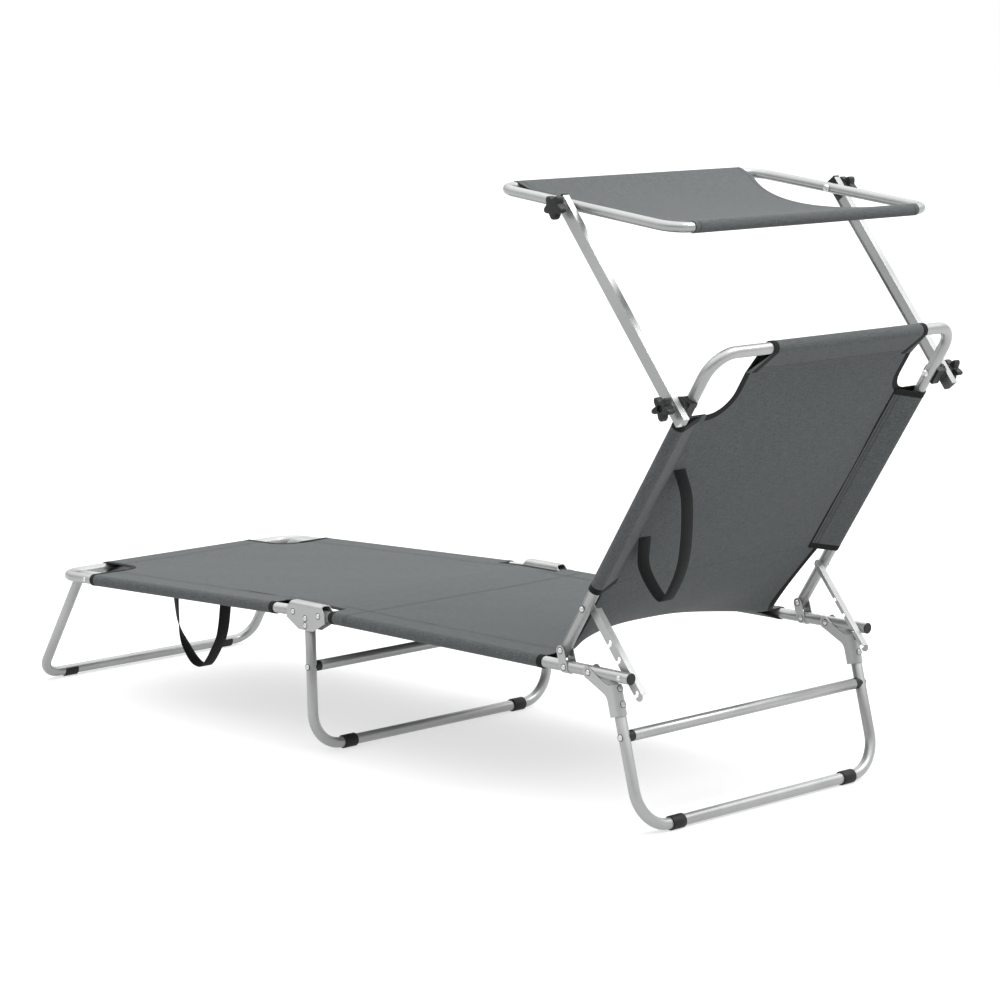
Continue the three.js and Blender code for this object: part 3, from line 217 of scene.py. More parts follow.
def worn_edge_group():
    """1 where an edge is rubbed: the rounded normal leaves the true one there, broken up by noise."""
    tree, g, given, out = new_group("worn_edges", ["Place"], ["Mask"])
    rounded = g.add("ShaderNodeBevel", {"Radius": 0.0012}, samples=4).outputs[0]
    true = g.add("ShaderNodeNewGeometry").outputs["True Normal"]
    facing = g.add("ShaderNodeVectorMath", {0: rounded, 1: true}, operation="DOT_PRODUCT").outputs["Value"]
    bent = g.ramp(facing, 0.8, 0.985, 1.0, 0.0)
    broken = g.ramp(g.noise(given["Place"], 260.0, 4.0, 0.65), 0.46, 0.6)
    g.put(out["Mask"], g.math("MULTIPLY", bent, broken))
    return tree


WEAVE, STITCHES, GRAIN, WORN = weave_group(), stitch_group(), grain_group(), worn_edge_group()
print("node groups", [t.name for t in (WEAVE, STITCHES, GRAIN, WORN)])

# %% [markdown]
# ## Materials
# Sprayed and satin metals, moulded plastics, the grey sling cloth and black webbing and tape.


# %% Materials
def new_material(name):
    material = bpy.data.materials.new(name)
    material.use_nodes = True
    material.node_tree.nodes.clear()
    g = Graph(material.node_tree)
    surface = g.add("ShaderNodeBsdfPrincipled")
    out = g.add("ShaderNodeOutputMaterial")
    g.put(out.inputs["Surface"], surface.outputs[0])
    return material, g, surface.inputs


def bumped(g, height, distance, strength):
    inputs = {"Height": height, "Distance": distance, "Strength": strength}
    return g.add("ShaderNodeBump", inputs).outputs[0]


def tone(color, share=1.0):
    return (*(share * c for c in color), 1)


def grained(name, scale):
    """A new material, with its fine grain and the mask of its rubbed edges."""
    material, g, surface = new_material(name)
    place = g.add("ShaderNodeTexCoord").outputs["Object"]
    grain = g.use(GRAIN, {"Place": place, "Scale": scale})
    return material, g, surface, grain, g.use(WORN, {"Place": place})["Mask"]


def coated_metal(name, color, metallic, roughness, worn_grey, scale=700.0):
    """Metal with a sprayed or brushed finish and rubbed edges."""
    material, g, surface, grain, worn = grained(name, scale)
    patchy = g.mix(g.ramp(grain["Patch"], 0.35, 0.7), tone(color, 0.86), tone(color))
    g.fill(surface, {
        "Base Color": g.mix(g.math("MULTIPLY", worn, 0.6), patchy, tone([worn_grey] * 3)),
        "Metallic": metallic,
        "Roughness": g.ramp(grain["Patch"], 0.3, 0.75, roughness - 0.05, roughness + 0.07),
        "Normal": bumped(g, grain["Height"], 0.00006, 0.6)})
    return material


def moulded(name, color, roughness, scale=1400.0):
    """Matte moulded plastic with a fine leathery grain and scuffed edges."""
    material, g, surface, grain, worn = grained(name, scale)
    scuffed = tuple(1.5 * c + 0.01 for c in color)
    patchy = g.mix(g.ramp(grain["Patch"], 0.4, 0.7), tone(color), tone(color, 0.8))
    g.fill(surface, {
        "Base Color": g.mix(g.math("MULTIPLY", worn, 0.7), patchy, tone(scuffed)),
        "Roughness": g.ramp(grain["Height"], 0.3, 0.7, roughness - 0.06, roughness + 0.1),
        "Specular IOR Level": 0.3,
        "Normal": bumped(g, grain["Height"], 0.0001, 0.7)})
    return material


def woven(name, color, pitch, relief, lines=(), thread=(0.03, 0.032, 0.034), roughness=0.9, sheen=0.06,
          hem=None):
    """Cloth with a weave in its own two directions, slubs, and rows of stitches at the given lines, with
    painted shade in the weave's hollows and beside the stitches, and a painted shadow along the hem.
    A line is ("u", place) at a place across the cloth, or ("v", place) at one along it."""
    material, g, surface = new_material(name)
    uv = g.add("ShaderNodeSeparateXYZ", {0: g.add("ShaderNodeUVMap", uv_map="cloth").outputs[0]}).outputs
    weave = g.use(WEAVE, {"Along": uv["Y"], "Across": uv["X"], "Pitch": pitch})
    place = g.add("ShaderNodeTexCoord").outputs["Object"]
    patch = g.noise(place, 5.0, 3.0)
    tint = g.mix(g.ramp(weave["Slub"], 0.38, 0.62), tone(color, 0.62), tone(color, 1.3))
    tint = g.mix(g.ramp(patch, 0.3, 0.75, 0.0, 0.3), tint, tone(color))
    # painted shade: darker where the weave's threads dip, in its hollows
    tint = g.mix(g.ramp(weave["Height"], 0.0, 1.0, 0.28, 0.0), tint, tone(color, 0.45))
    height = g.math("MULTIPLY", weave["Height"], relief)
    for axis, at in lines:
        across, along = (uv["X"], uv["Y"]) if axis == "u" else (uv["Y"], uv["X"])
        row = g.use(STITCHES, {"Along": along, "Across": across, "Line": at})
        # painted shade: the cloth darkens in the crease beside each row of stitches
        stitch_crease_shade = g.math("MULTIPLY", g.math("SUBTRACT", 1.0, row["Pucker"]), 0.45)
        tint = g.mix(stitch_crease_shade, tint, tone(color, 0.4))
        tint = g.mix(row["Mask"], tint, tone(thread))
        height = g.math("ADD", height, g.math("MULTIPLY", row["Pucker"], 0.0005))
        height = g.math("ADD", height, g.math("MULTIPLY", row["Mask"], 0.0004))
    if hem:     # painted shadow: a near-black line along the hem's cut edge
        fold = g.ramp(g.math("ABSOLUTE", uv["X"]), hem - 0.0020, hem - 0.0016)
        tint = g.mix(fold, tint, tone(color, 0.05))
    g.fill(surface, {"Base Color": tint, "Roughness": roughness, "Sheen Weight": sheen,
                     "Sheen Roughness": 0.5, "Specular IOR Level": 0.2,
                     "Normal": bumped(g, height, 1.0, 0.8)})
    return material


COAT = coated_metal("silver_coat", (0.345, 0.35, 0.348), 0.6, 0.34, 0.5)
PLATE = coated_metal("plate_coat", (0.37, 0.375, 0.373), 0.6, 0.36, 0.5)
ALLOY = coated_metal("satin_alloy", (0.33, 0.335, 0.335), 0.65, 0.32, 0.55, 1200.0)
ZINC = coated_metal("bright_zinc", (0.6, 0.6, 0.6), 0.9, 0.34, 0.65, 1500.0)
# painted shadow: the near-black ring round each rivet head, for the shade between head and plate
RIVET_SHADOW = coated_metal("rivet_shadow_ring", (0.07, 0.07, 0.07), 0.6, 0.5, 0.3, 1500.0)
PLASTIC = moulded("black_moulding", (0.010, 0.0105, 0.011), 0.5)
PAD = moulded("foot_moulding", (0.007, 0.007, 0.0075), 0.6, 900.0)
GREY = (0.066, 0.0725, 0.0735)
BLACK = (0.0035, 0.0042, 0.0045)
WEB = woven("black_webbing", BLACK, 0.0016, 0.0003, [("u", -0.0105), ("u", 0.0105)],
            (0.010, 0.011, 0.012), 0.8, 0.03)
TAPE = woven("black_tape", BLACK, 0.0008, 0.0001, roughness=0.85, sheen=0.03)
print("materials", len(bpy.data.materials))

# %% [markdown]
# ## Mesh helpers


# %% Mesh helpers
PIECES = {}


def new_piece(name, body, slot, material, verts, faces, uv=None, at=None, sharp=50):
    """Mesh object placed by at, smooth except at sharp edges, on the body that carries it."""
    mesh = bpy.data.meshes.new(name)
    place = at or Matrix.Identity(4)
    mesh.from_pydata([place @ Vector(v) for v in verts], [], faces)
    if uv is not None:
        layer = mesh.uv_layers.new(name="cloth")
        for loop in mesh.loops:
            layer.data[loop.index].uv = uv[loop.vertex_index]
    return shown(name, body, material, mesh, sharp)


def shown(name, body, material, mesh, sharp):
    obj = bpy.data.objects.new(name, mesh)
    scene.collection.objects.link(obj)
    mesh.materials.clear()
    mesh.materials.append(material)
    shade(obj, sharp)
    if body:
        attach(obj, body)
    PIECES[name] = obj
    return obj


def shade(obj, sharp):
    obj.data.polygons.foreach_set("use_smooth", [True] * len(obj.data.polygons))
    obj.data.set_sharp_from_angle(angle=radians(sharp))
    obj.data.update()


def apply_modifiers(obj):
    bpy.context.view_layer.update()
    depsgraph = bpy.context.evaluated_depsgraph_get()
    result = obj.evaluated_get(depsgraph)
    mesh = bpy.data.meshes.new_from_object(result, preserve_all_data_layers=True, depsgraph=depsgraph)
    obj.modifiers.clear()
    obj.data = mesh


def solidify(obj, thickness, sharp=50):
    """Cloth gets its thickness to both sides of its middle surface."""
    modifier = obj.modifiers.new("thickness", "SOLIDIFY")
    modifier.thickness = thickness
    modifier.offset = 0
    apply_modifiers(obj)
    shade(obj, sharp)


def bent_path(corners, radii, closed=False):
    """Points along straight runs joined by arcs."""
    corners = [Vector(c) for c in corners]
    count, steps = len(corners), 14
    points = [] if closed else [corners[0]]
    for i in range(count) if closed else range(1, count - 1):
        before, corner, after = corners[i - 1], corners[i], corners[(i + 1) % count]
        into, out = (corner - before).normalized(), (after - corner).normalized()
        angle = into.angle(out)
        side = (out - into * out.dot(into)).normalized()
        start = corner - into * radii[i] * tan(angle / 2)
        centre = start + side * radii[i]
        for k in range(steps + 1):
            a = angle * k / steps
            points.append(centre - side * radii[i] * cos(a) + into * radii[i] * sin(a))
    return points if closed else points + [corners[-1]]


def frames_along(points, first, closed=False):
    """Two section axes at each point, carried along without twisting."""
    across, frames = Vector(first), []
    count = len(points)
    for i, point in enumerate(points):
        before = points[i - 1] if closed or i else point
        after = points[(i + 1) % count] if closed or i < count - 1 else point
        heading = (after - before).normalized()
        across = (across - heading * across.dot(heading)).normalized()
        frames.append((point, across.copy(), heading.cross(across), heading))
    return frames


def ring_mesh(rings, closed=False):
    """Faces between rings of equal count, with flat caps at the ends of an open run."""
    count = len(rings[0])
    verts = [v for ring in rings for v in ring]
    faces = []
    for s in range(len(rings) if closed else len(rings) - 1):
        a, b = s * count, ((s + 1) % len(rings)) * count
        faces += [(a + i, a + (i + 1) % count, b + (i + 1) % count, b + i) for i in range(count)]
    if not closed:
        end = (len(rings) - 1) * count
        faces += [tuple(reversed(range(count))), tuple(range(end, end + count))]
    return verts, faces


def circle(count):
    angles = (2 * pi * i / count for i in range(count))
    return [(cos(a), sin(a)) for a in angles]


def tube(name, body, node, corners, radii, at, radius=TUBE, material=COAT, slot="frame", closed=False):
    """Round tube along a bent path, hollow where it ends."""
    points = bent_path(corners, radii, closed)
    heading = (points[1] - points[0]).normalized()
    first = (0, 0, 1) if abs(heading.z) < 0.8 else (0, 1, 0)
    frames = frames_along(points, first, closed)

    def ring(frame_at, size, shift=0.0):
        point, across, up, along = frame_at
        centre = point + along * shift
        return [centre + across * size * a + up * size * b for a, b in circle(36)]

    rings = [ring(f, radius) for f in frames]
    if not closed:
        bore, round_off, depth = radius - WALL, 0.0003, 0.03
        mouth = ((bore, depth), (bore, 0.0), (radius - round_off, 0.0), (radius, round_off))
        rings = ([ring(frames[0], size, shift) for size, shift in mouth] + rings[1:-1]
                 + [ring(frames[-1], size, -shift) for size, shift in reversed(mouth)])
    verts, faces = ring_mesh(rings, closed)
    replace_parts(new_piece(name, body, slot, material, verts, faces, at=at), node)


def lathe(name, body, slot, material, profile, at, node=None, segments=48, closed=False):
    """Turned piece about the local X axis: the profile is a list of (radius, distance along X)."""
    rings = [[Vector((x, r * a, r * b)) for a, b in circle(segments)] for r, x in profile]
    verts, faces = ring_mesh(rings, closed)
    obj = new_piece(name, body, slot, material, verts, faces, at=at, sharp=40)
    if node:
        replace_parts(obj, node)


def refined(node, body, slot, material, bevel):
    """Copy of a CAD node with its long flat faces merged and its sharp edges rounded."""
    sharp = 50
    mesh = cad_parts[node].data.copy()
    work = bmesh.new()
    work.from_mesh(mesh)
    bmesh.ops.remove_doubles(work, verts=work.verts, dist=1e-6)
    bmesh.ops.dissolve_limit(work, angle_limit=radians(0.5), verts=work.verts, edges=work.edges)
    edges = [e for e in work.edges if len(e.link_faces) == 2 and e.calc_face_angle(0) > radians(sharp)]
    if edges:
        bmesh.ops.bevel(work, geom=edges, offset=bevel, segments=2, profile=0.6, affect="EDGES",
                        clamp_overlap=True)
    work.to_mesh(mesh)
    work.free()
    stale = [a.name for a in mesh.attributes if a.name in ("custom_normal", "sharp_edge", "sharp_face")]
    for name in stale:
        mesh.attributes.remove(mesh.attributes[name])
    obj = shown(node + "_fine", body, material, mesh, sharp)
    if slot != "hardware":
        evened = obj.modifiers.new("normals", "WEIGHTED_NORMAL")
        evened.keep_sharp = True
        apply_modifiers(obj)
    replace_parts(obj, node)


both = (("right", 1), ("left", -1))

# %% [markdown]
# ## Tubes
# Rails, legs, backrest and canopy loop, as smooth tubes on the model's own centrelines.

# %% Tubes
for side, s in both:
    corners = [(s * RAIL, -0.012, 0), (s * RAIL, RAIL_END, 0)]
    tube("rail_" + side, "seat_frame", "seat_rail_" + side, corners, [], SEAT)


def u_frame(tail, bar):
    """Corners of a U whose ends run past its pivots by the tail."""
    return [(RAIL, -tail, 0), (RAIL, bar, 0), (-RAIL, bar, 0), (-RAIL, -tail, 0)]


def leg_loop(y, top, floor):
    return [(RAIL, y, top), (RAIL, y, floor), (-RAIL, y, floor), (-RAIL, y, top)]


FOOT_BAR, TOP_BAR, KNEE = 0.680, 0.570, 0.056
MID_SIDE, HEAD_SIDE = -0.001, 0.0418      # the leg loops' places beside their pivots
MID_BAR_HEIGHT, HEAD_BAR, BAR_HALF = 0.150, -0.105, 0.256
MID_FLOOR = (PAD_RADIUS - AXLE - MID_SIDE * sin(MID_LEAN)) / cos(MID_LEAN)
MID_BAR = (MID_BAR_HEIGHT - AXLE) / cos(MID_LEAN)
HEAD_FLOOR = (PAD_RADIUS - AXLE - HEAD_SIDE * sin(HEAD_LEAN)) / cos(HEAD_LEAN)
KNEE_HEIGHT = AXLE - (FOOT_LEG_AT + KNEE) * sin(FOOT_SLOPE)
SHIN = (KNEE_HEIGHT - PAD_RADIUS) / cos(FOOT_LEAN)
SHIN_ANGLE = pi / 2 - FOOT_LEAN - FOOT_SLOPE
FOOT_FLOOR = (KNEE + SHIN * cos(SHIN_ANGLE), -SHIN * sin(SHIN_ANGLE))

for stem, body, corners, bend, at in (
        ("foot", "foot_frame", u_frame(0.012, FOOT_BAR), 0.042, FOOT),
        ("back", "backrest", u_frame(0.010, TOP_BAR), 0.043, BACK),
        ("mid", "mid_leg", leg_loop(MID_SIDE, 0.003, MID_FLOOR), 0.06, MID_LEG),
        ("head", "head_leg", leg_loop(HEAD_SIDE, -0.026, HEAD_FLOOR), 0.06, HEAD_LEG)):
    tube(stem + "_tube", body, body + "_tube", corners, [0, bend, bend, 0], at)
shin = [(LEG_HALF, -0.007, 0), (LEG_HALF, KNEE, 0), (LEG_HALF, *FOOT_FLOOR)]
tube("foot_leg_loop", "foot_leg", "foot_leg_tube", shin + [(-x, y, z) for x, y, z in reversed(shin)],
     [0, 0.04, 0.04, 0.04, 0.04, 0], FOOT_LEG)
for stem, y, z, at in (("mid", MID_SIDE, MID_BAR, MID_LEG), ("head", HEAD_SIDE, HEAD_BAR, HEAD_LEG)):
    corners = [(-BAR_HALF, y, z), (BAR_HALF, y, z)]
    tube(stem + "_bar", stem + "_leg", stem + "_crossbar", corners, [], at)
corners = [(CANOPY_SIDE, CANOPY_HEAD, 0), (-CANOPY_SIDE, CANOPY_HEAD, 0), (-CANOPY_SIDE, CANOPY_FOOT, 0),
           (CANOPY_SIDE, CANOPY_FOOT, 0)]
tube("canopy_loop", "canopy", "canopy_frame_tube", corners, [0.035] * 4, CANOPY, CANOPY_TUBE, ALLOY,
     "canopy_metal", closed=True)
print("tubes", len(PIECES))

# %% [markdown]
# ## Plates, bolts and mouldings
# Bevelled copies of the model's own solids, with a core in each canopy arm.

# %% Plates and mouldings
KINDS = [
    ("plate", PLATE, 0.0003,
     {"hinge_link": "seat_frame", "mid_bracket": "mid_leg", "head_bracket": "head_leg"}),
    ("hardware", ZINC, 0.0002,
     {"strut_pin": "seat_frame", "foot_leg_rivet": "foot_frame", "clamp_bolt": "backrest",
      "canopy_bolt": "canopy"}),
    ("canopy_metal", ALLOY, 0.0003, {"canopy_arm": "canopy_arms"}),
    ("plastic", PLASTIC, 0.0004, {"mid_saddle": "mid_leg", "head_saddle": "head_leg"}),
    ("plastic", PLASTIC, 0.0005, {"clamp": "backrest"}),
    ("plastic", PLASTIC, 0.0004, {"clamp_disc": "canopy_arms", "arm_cap": "canopy_arms"}),
]
for slot, material, bevel, carriers in KINDS:
    for stem, body in carriers.items():
        for side, s in both:
            refined(f"{stem}_{side}", body, slot, material, bevel)
for side, s in both:
    refined("strut_" + side, "strut_" + side, "plate", PLATE, 0.0002)
    # The photo's arms look nearly flat from inside, so a core leaves only a shallow channel there.
    core_half, core_reach = 0.0085, 18.5 * 0.0085
    ring = [(a * core_reach, b * core_half) for a, b in ((1, -1), (1, 1), (-1, 1), (-1, -1))]
    xs = (s * (ARM_FACE - 0.0015), s * (ARM_FACE - 0.0095))
    core = [[Vector((x, ARM_LENGTH / 2 + a, b)) for a, b in ring] for x in xs]
    new_piece("arm_core_" + side, "canopy_arms", "canopy_metal", ALLOY, *ring_mesh(core), at=ARMS, sharp=30)
print("pieces", len(PIECES))

# %% [markdown]
# ## Plugs, foot pads and knobs
# Round and lobed mouldings, turned or swept anew in place of the model's.

# %% Turned pieces
for side, s in both:
    end = SEAT @ move(s * RAIL, RAIL_END, 0) @ Matrix.Rotation(pi / 2, 4, "Z")
    lathe("plug_" + side, "seat_frame", "plastic", PLASTIC,
          [(0.0075, -0.012), (0.0075, 0.0003), (0.0088, 0.0003), (0.009, 0.0006), (0.009, 0.0015),
           (0.0084, 0.0021), (0.003, 0.0023)], end, "rail_plug_" + side)


def pad(name, body, node, x, y, z, at):
    inner, outer, half, edge = TUBE + 0.0002, PAD_RADIUS, PAD_HALF, 0.0009
    profile = [(inner, -half), (outer - edge, -half), (outer - 0.3 * edge, 0.3 * edge - half),
               (outer, edge - half)]
    profile += [(r, -x) for r, x in reversed(profile)]
    lathe(name, body, "foot", PAD, profile, at @ move(x, y, z), node, 64, closed=True)


def clip(name, body, node, x, y, z, at):
    """Pad that clips on from below and leaves the top of the floor bar bare."""
    inner, outer, half, edge = TUBE + 0.0001, PAD_RADIUS, PAD_HALF, 0.0008
    section = [(inner, -half), (outer - edge, -half), (outer, edge - half)]
    section += [(r, -x) for r, x in reversed(section)]
    low, sweep = 155, 230
    angles = [radians(low + sweep * k / 48) for k in range(49)]
    rings = [[Vector((along, r * cos(a), r * sin(a))) for r, along in section] for a in angles]
    verts, faces = ring_mesh(rings)
    obj = new_piece(name, body, "foot", PAD, verts, faces, at=at @ move(x, y, z) @ turn(FOOT_SLOPE), sharp=40)
    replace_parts(obj, node)


for side, s in both:
    pad("mid_pad_" + side, "mid_leg", "mid_foot_pad_" + side, s * 0.197, MID_SIDE, MID_FLOOR, MID_LEG)
    pad("head_pad_" + side, "head_leg", "head_foot_pad_" + side, s * 0.198, HEAD_SIDE, HEAD_FLOOR, HEAD_LEG)
    clip("foot_pad_" + side, "foot_leg", "foot_leg_pad_" + side, -s * 0.185, *FOOT_FLOOR, FOOT_LEG)


def knob(name, part, at, side, depth=0.0045, hollow=True):
    """Five-lobed knob with a hub behind it, and a hollow or a shallow dome in its face."""
    segments = 120
    hub_start = ARM_FACE + 0.0046
    rings = [(0, 0.0052, 0), (0, 0.0085, 0.0002), (0, 0.0085, 0.006), (0.82, 0, 0.0062), (0.96, 0, 0.0068),
             (1.0, 0, 0.0088), (1.0, 0, 0.0166), (0.975, 0, 0.0185), (0.9, 0, 0.0196), (0.8, 0, 0.020),
             (0, 0.0066, 0.020)]
    rings += ([(0, 0.0056, 0.0194), (0, 0.0054, 0.0152), (0, 0.0032, 0.015)] if hollow
              else [(0, 0.001, 0.02)])

    def ring(star, hub, x):
        points = []
        for i in range(segments):
            a = 2 * pi * i / segments
            reach = star * (0.019 - depth + depth * cos(5 * a)) + hub
            points.append(Vector((side * (hub_start + x), reach * cos(a), side * reach * sin(a))))
        return points

    verts, faces = ring_mesh([ring(*r) for r in rings])
    obj = new_piece(name, part, "plastic", PLASTIC, verts, faces, at=at, sharp=35)
    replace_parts(obj, part)


for side, s in both:
    knob("clamp_star_" + side, "clamp_knob_" + side, ARMS, s)
    knob("canopy_star_" + side, "canopy_knob_" + side, ARM_TOP, s, 0.003, False)
print("pieces", len(PIECES))

# %% [markdown]
# ## Rivet heads
# Bright domed heads on both faces of every plate and on the legs' outer sides, each in a near-black ring of
# painted shadow.


# %% Rivet heads
def rivet(name, body, at, height=0.0023):
    """Domed head on a face at the origin of at, pointing along its +X, in a near-black ring of painted
    shadow.
    """
    dome = [(0.0046 * cos(a), height * sin(a)) for a in (radians(9 * k) for k in range(10))]
    profile = [(0.0046, -0.0004)] + dome[:-1] + [(0.0003, height)]
    lathe(name, body, "hardware", ZINC, profile, at, segments=24)
    # painted shadow: a near-black ring round the head, for the shade where it meets the plate
    shadow_ring = [(0.0045, -0.0003), (0.0058, -0.0003), (0.0058, 0.0001), (0.0056, 0.0002), (0.0045, 0.0002)]
    lathe(name + "_washer", body, "hardware", RIVET_SHADOW, shadow_ring, at, segments=24, closed=True)


def rivet_pair(stem, body, at, y, z, out=PLATE_OUT, inner=True):
    """A head on the outside of both rails, and one on the inside."""
    for side, s in both:
        for face, way in (("out", 1), ("in", -1))[:2 if inner else 1]:
            spot = move(s * (RAIL + way * out), y, z)
            rivet(f"{stem}_{side}_{face}", body, at @ spot @ Matrix.Diagonal((s * way, 1, 1, 1)))


LINK_RIVET, STRUT_RIVET, WRAP_RIVETS = 0.582, 0.084, (0.0315, 0.056)
rivet_pair("link_top_rivet", "seat_frame", SEAT, *BACK_PIVOT)
rivet_pair("link_low_rivet", "seat_frame", SEAT, LINK_RIVET, 0)
for k, (y, z) in enumerate([(-PIVOTS / 2, 0), (PIVOTS / 2, 0), (-0.001, -0.008), (-0.001, -0.020)]):
    rivet_pair(f"mid_rivet_{k}", "mid_leg", MID, y, z)
rivet_pair("head_rivet", "head_leg", HEAD_LEG, 0, 0)
rivet_pair("mid_bar_rivet", "mid_leg", MID_LEG, MID_SIDE, MID_BAR, TUBE - 0.0002, False)
rivet_pair("head_bar_rivet", "head_leg", HEAD_LEG, HEAD_SIDE, HEAD_BAR, TUBE - 0.0002, False)
for side, s in both:
    spot = BACK @ move(s * (RAIL + TUBE + GAP), STRUT_RIVET, 0) @ Matrix.Diagonal((s, 1, 1, 1))
    rivet("strut_rivet_" + side, "strut_" + side, spot)
    for k, down in enumerate(WRAP_RIVETS):
        spot = move(s * RAIL, HEAD_SIDE + PLATE_OUT - 0.0002, -down) @ Matrix.Rotation(pi / 2, 4, "Z")
        rivet(f"wrap_rivet_{k}_{side}", "head_leg", HEAD_LEG @ spot, 0.0005)
print("pieces", len(PIECES))

# %% [markdown]
# ## Cloth
# Each sling is one cut of cloth: a panel, a pocket round each side tube, and at the free end a pocket round
# the bar. Its corners are cut out in a curve. The pockets come back under the panel to a sewn hem.


# %% Cloth helpers
def pocket(radius, panel, width, under):
    """Points (outward, up) from the top of a tube round it and back to the hem, at the panel's underside."""
    hem = Vector((-width, under))
    tangent = atan2(hem.y, hem.x) + acos(radius / hem.length) - 2 * pi
    arc = [pi / 2 + (tangent - pi / 2) * k / 22 for k in range(23)]
    points = [Vector((radius * cos(a), radius * sin(a))) for a in arc]
    points[0].y = panel
    last = points[-1]
    return points + [last.lerp(hem, k / 8) for k in range(1, 9)]


def sling_pocket(spread=0.0, lower=0.0002):
    """The pocket round a sling's tube, a little larger and lower for the tape on it."""
    return pocket(SLEEVE + spread, SHEET + spread, POCKET, SHEET - CLOTH - lower)


def spaced(low, high, step):
    count = max(1, round((high - low) / step))
    return [low + (high - low) * k / count for k in range(count + 1)]


def arc_lengths(points):
    total, out = 0.0, [0.0]
    for a, b in zip(points, points[1:]):
        total += (Vector(b) - Vector(a)).length
        out.append(total)
    return out


def grid(rows):
    """Faces of a grid given as rows of equal length."""
    width = len(rows[0])
    return [(j * width + i, j * width + i + 1, (j + 1) * width + i + 1, (j + 1) * width + i)
            for j in range(len(rows) - 1) for i in range(width - 1)]


def ripple(x, y, seed):
    """Slow waves of slack cloth, in metres."""
    return 0.0005 * (sin(19 * x + 7 * y + seed) + 0.7 * sin(31 * y - 11 * x + 2 * seed)
                     + 0.5 * sin(47 * x + 23 * y + 3 * seed))


def panel_height(x, y, start, end, seed):
    """Height of the panel's middle surface: stretched at the rails, a little slack between them."""
    inside = max(0.0, 1 - (x / RAIL) ** 2)
    lengthways = min(1.0, max(0.0, min(y - start, end - y)) / 0.12)
    fade = min(1.0, inside * 3)
    return SHEET - SLACK * inside * lengthways + ripple(x, y, seed) * fade * lengthways


def full_section():
    """A sling's section, from one hem under the panel to the other."""
    half = [Vector((x, SHEET)) for x in spaced(0, RAIL, 0.007)[:-1]]
    half += [Vector((RAIL, 0)) + p for p in sling_pocket()]
    return [Vector((-p.x, p.y)) for p in reversed(half[1:])] + half


def seat_end(x):
    """Where the seat's panel ends: a curved bay that the pull of the backrest lifts the next cloth out of."""
    return SEAT_END - BAY_DEPTH * max(0.0, 1 - (x / BAY_HALF) ** 2)


def sling_rows(start, end, height, bay=None):
    """Rows of the part of a sling that is carried by both side tubes."""
    section = full_section()
    lengths = arc_lengths(section)
    middle = lengths[len(lengths) // 2]
    rows, uvs = [], []
    for place in spaced(start, end, 0.009):
        row = []
        for k, p in enumerate(section):
            on_top = abs(p.x) < RAIL - 1e-6 and abs(p.y - SHEET) < 1e-6
            y = start + (place - start) * (bay(p.x) - start) / (end - start) if bay and on_top else place
            row.append((p.x, y, height(p.x, y) if on_top else p.y))
            uvs.append((lengths[k] - middle, y))
        rows.append(row)
    return rows, uvs


def bite_edge(y, sleeve_end, bar, bite):
    """Half width of the panel beside a corner's cut-out. A bite is (half width, pocket's end, radius)."""
    half, bar_end, radius = bite
    centre = sleeve_end + radius
    hem_at = bar - POCKET
    if y < centre:
        return half + radius - sqrt(max(0.0, radius ** 2 - (centre - y) ** 2))
    return half + (bar_end - half) * min(1.0, max(0.0, y - hem_at) / POCKET)


def end_rows(sleeve_end, bar, bites, height):
    """Rows of the free end: from the side pockets' end over the bar and back to its hem."""
    near = [sleeve_end + 0.042 * (1 - cos(pi / 2 * k / 12)) for k in range(13)]
    far = spaced(near[-1], bar, 0.007)[1:-1]
    route = [(y, None) for y in near + far] + [(bar + p.x, p.y) for p in sling_pocket()]
    rows, uvs, along, before = [], [], sleeve_end, None
    for y, z in route:
        here = Vector((y, SHEET if z is None else z))
        along += (here - before).length if before else 0.0
        before = here
        plan = min(y, bar)
        low = -bite_edge(plan, sleeve_end, bar, bites["left"])
        high = bite_edge(plan, sleeve_end, bar, bites["right"])
        xs = [low + (high - low) * k / 56 for k in range(57)]
        rows.append([(x, y, height(x, y) if z is None else z) for x in xs])
        uvs += [(x, along) for x in xs]
    return rows, uvs


def cloth_piece(stem, body, node, parts, at, flat, rests_on, lines=(), hem=None, thickness=CLOTH):
    """Joins grids into one cloth, measures its flat area, and gives it thickness."""
    name = stem + "_cloth"
    material = woven(stem + "_weave", GREY, 0.0007, 0.00009, lines, hem=hem)
    verts, faces, uvs = [], [], []
    for rows, uv in parts:
        base = len(verts)
        verts += [v for row in rows for v in row]
        faces += [tuple(base + i for i in f) for f in grid(rows)]
        uvs += uv
    obj = new_piece(name, None, "cloth", material, verts, faces, uvs, at)
    area = sum(p.area for p in obj.data.polygons)
    solidify(obj, thickness)
    if body:
        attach(obj, body)
    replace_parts(obj, node)
    print(name, "flat", [round(v, 3) for v in flat], "area", round(area, 4))
    SHEETS.append((obj, flat, area, rests_on))
    return obj


def trim(name, body, rows, at, uv, thickness=0.0017):
    """Binding tape folded over an edge, a little thicker than the cloth that its name starts with."""
    obj = new_piece(name, None, "webbing", TAPE, [v for row in rows for v in row], grid(rows), uv, at)
    solidify(obj, thickness, 60)
    if body:
        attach(obj, body)
    TRIMS.setdefault(name.split("_")[0] + "_cloth", []).append(obj)


SHEETS, TRIMS = [], {}
SLACK = 0.003
TAPE_WIDTH = 0.010
TAPE_OVER = 0.0004      # how far a tape stands past the edge that it binds
SECTION_WIDTH = arc_lengths(full_section())[-1]
print("cut width of a sling", round(SECTION_WIDTH, 4))


# %% [markdown]
# ## Binding tape
# A black tape closes each pocket's end and runs on round the corner cut-outs and along the narrow waist.


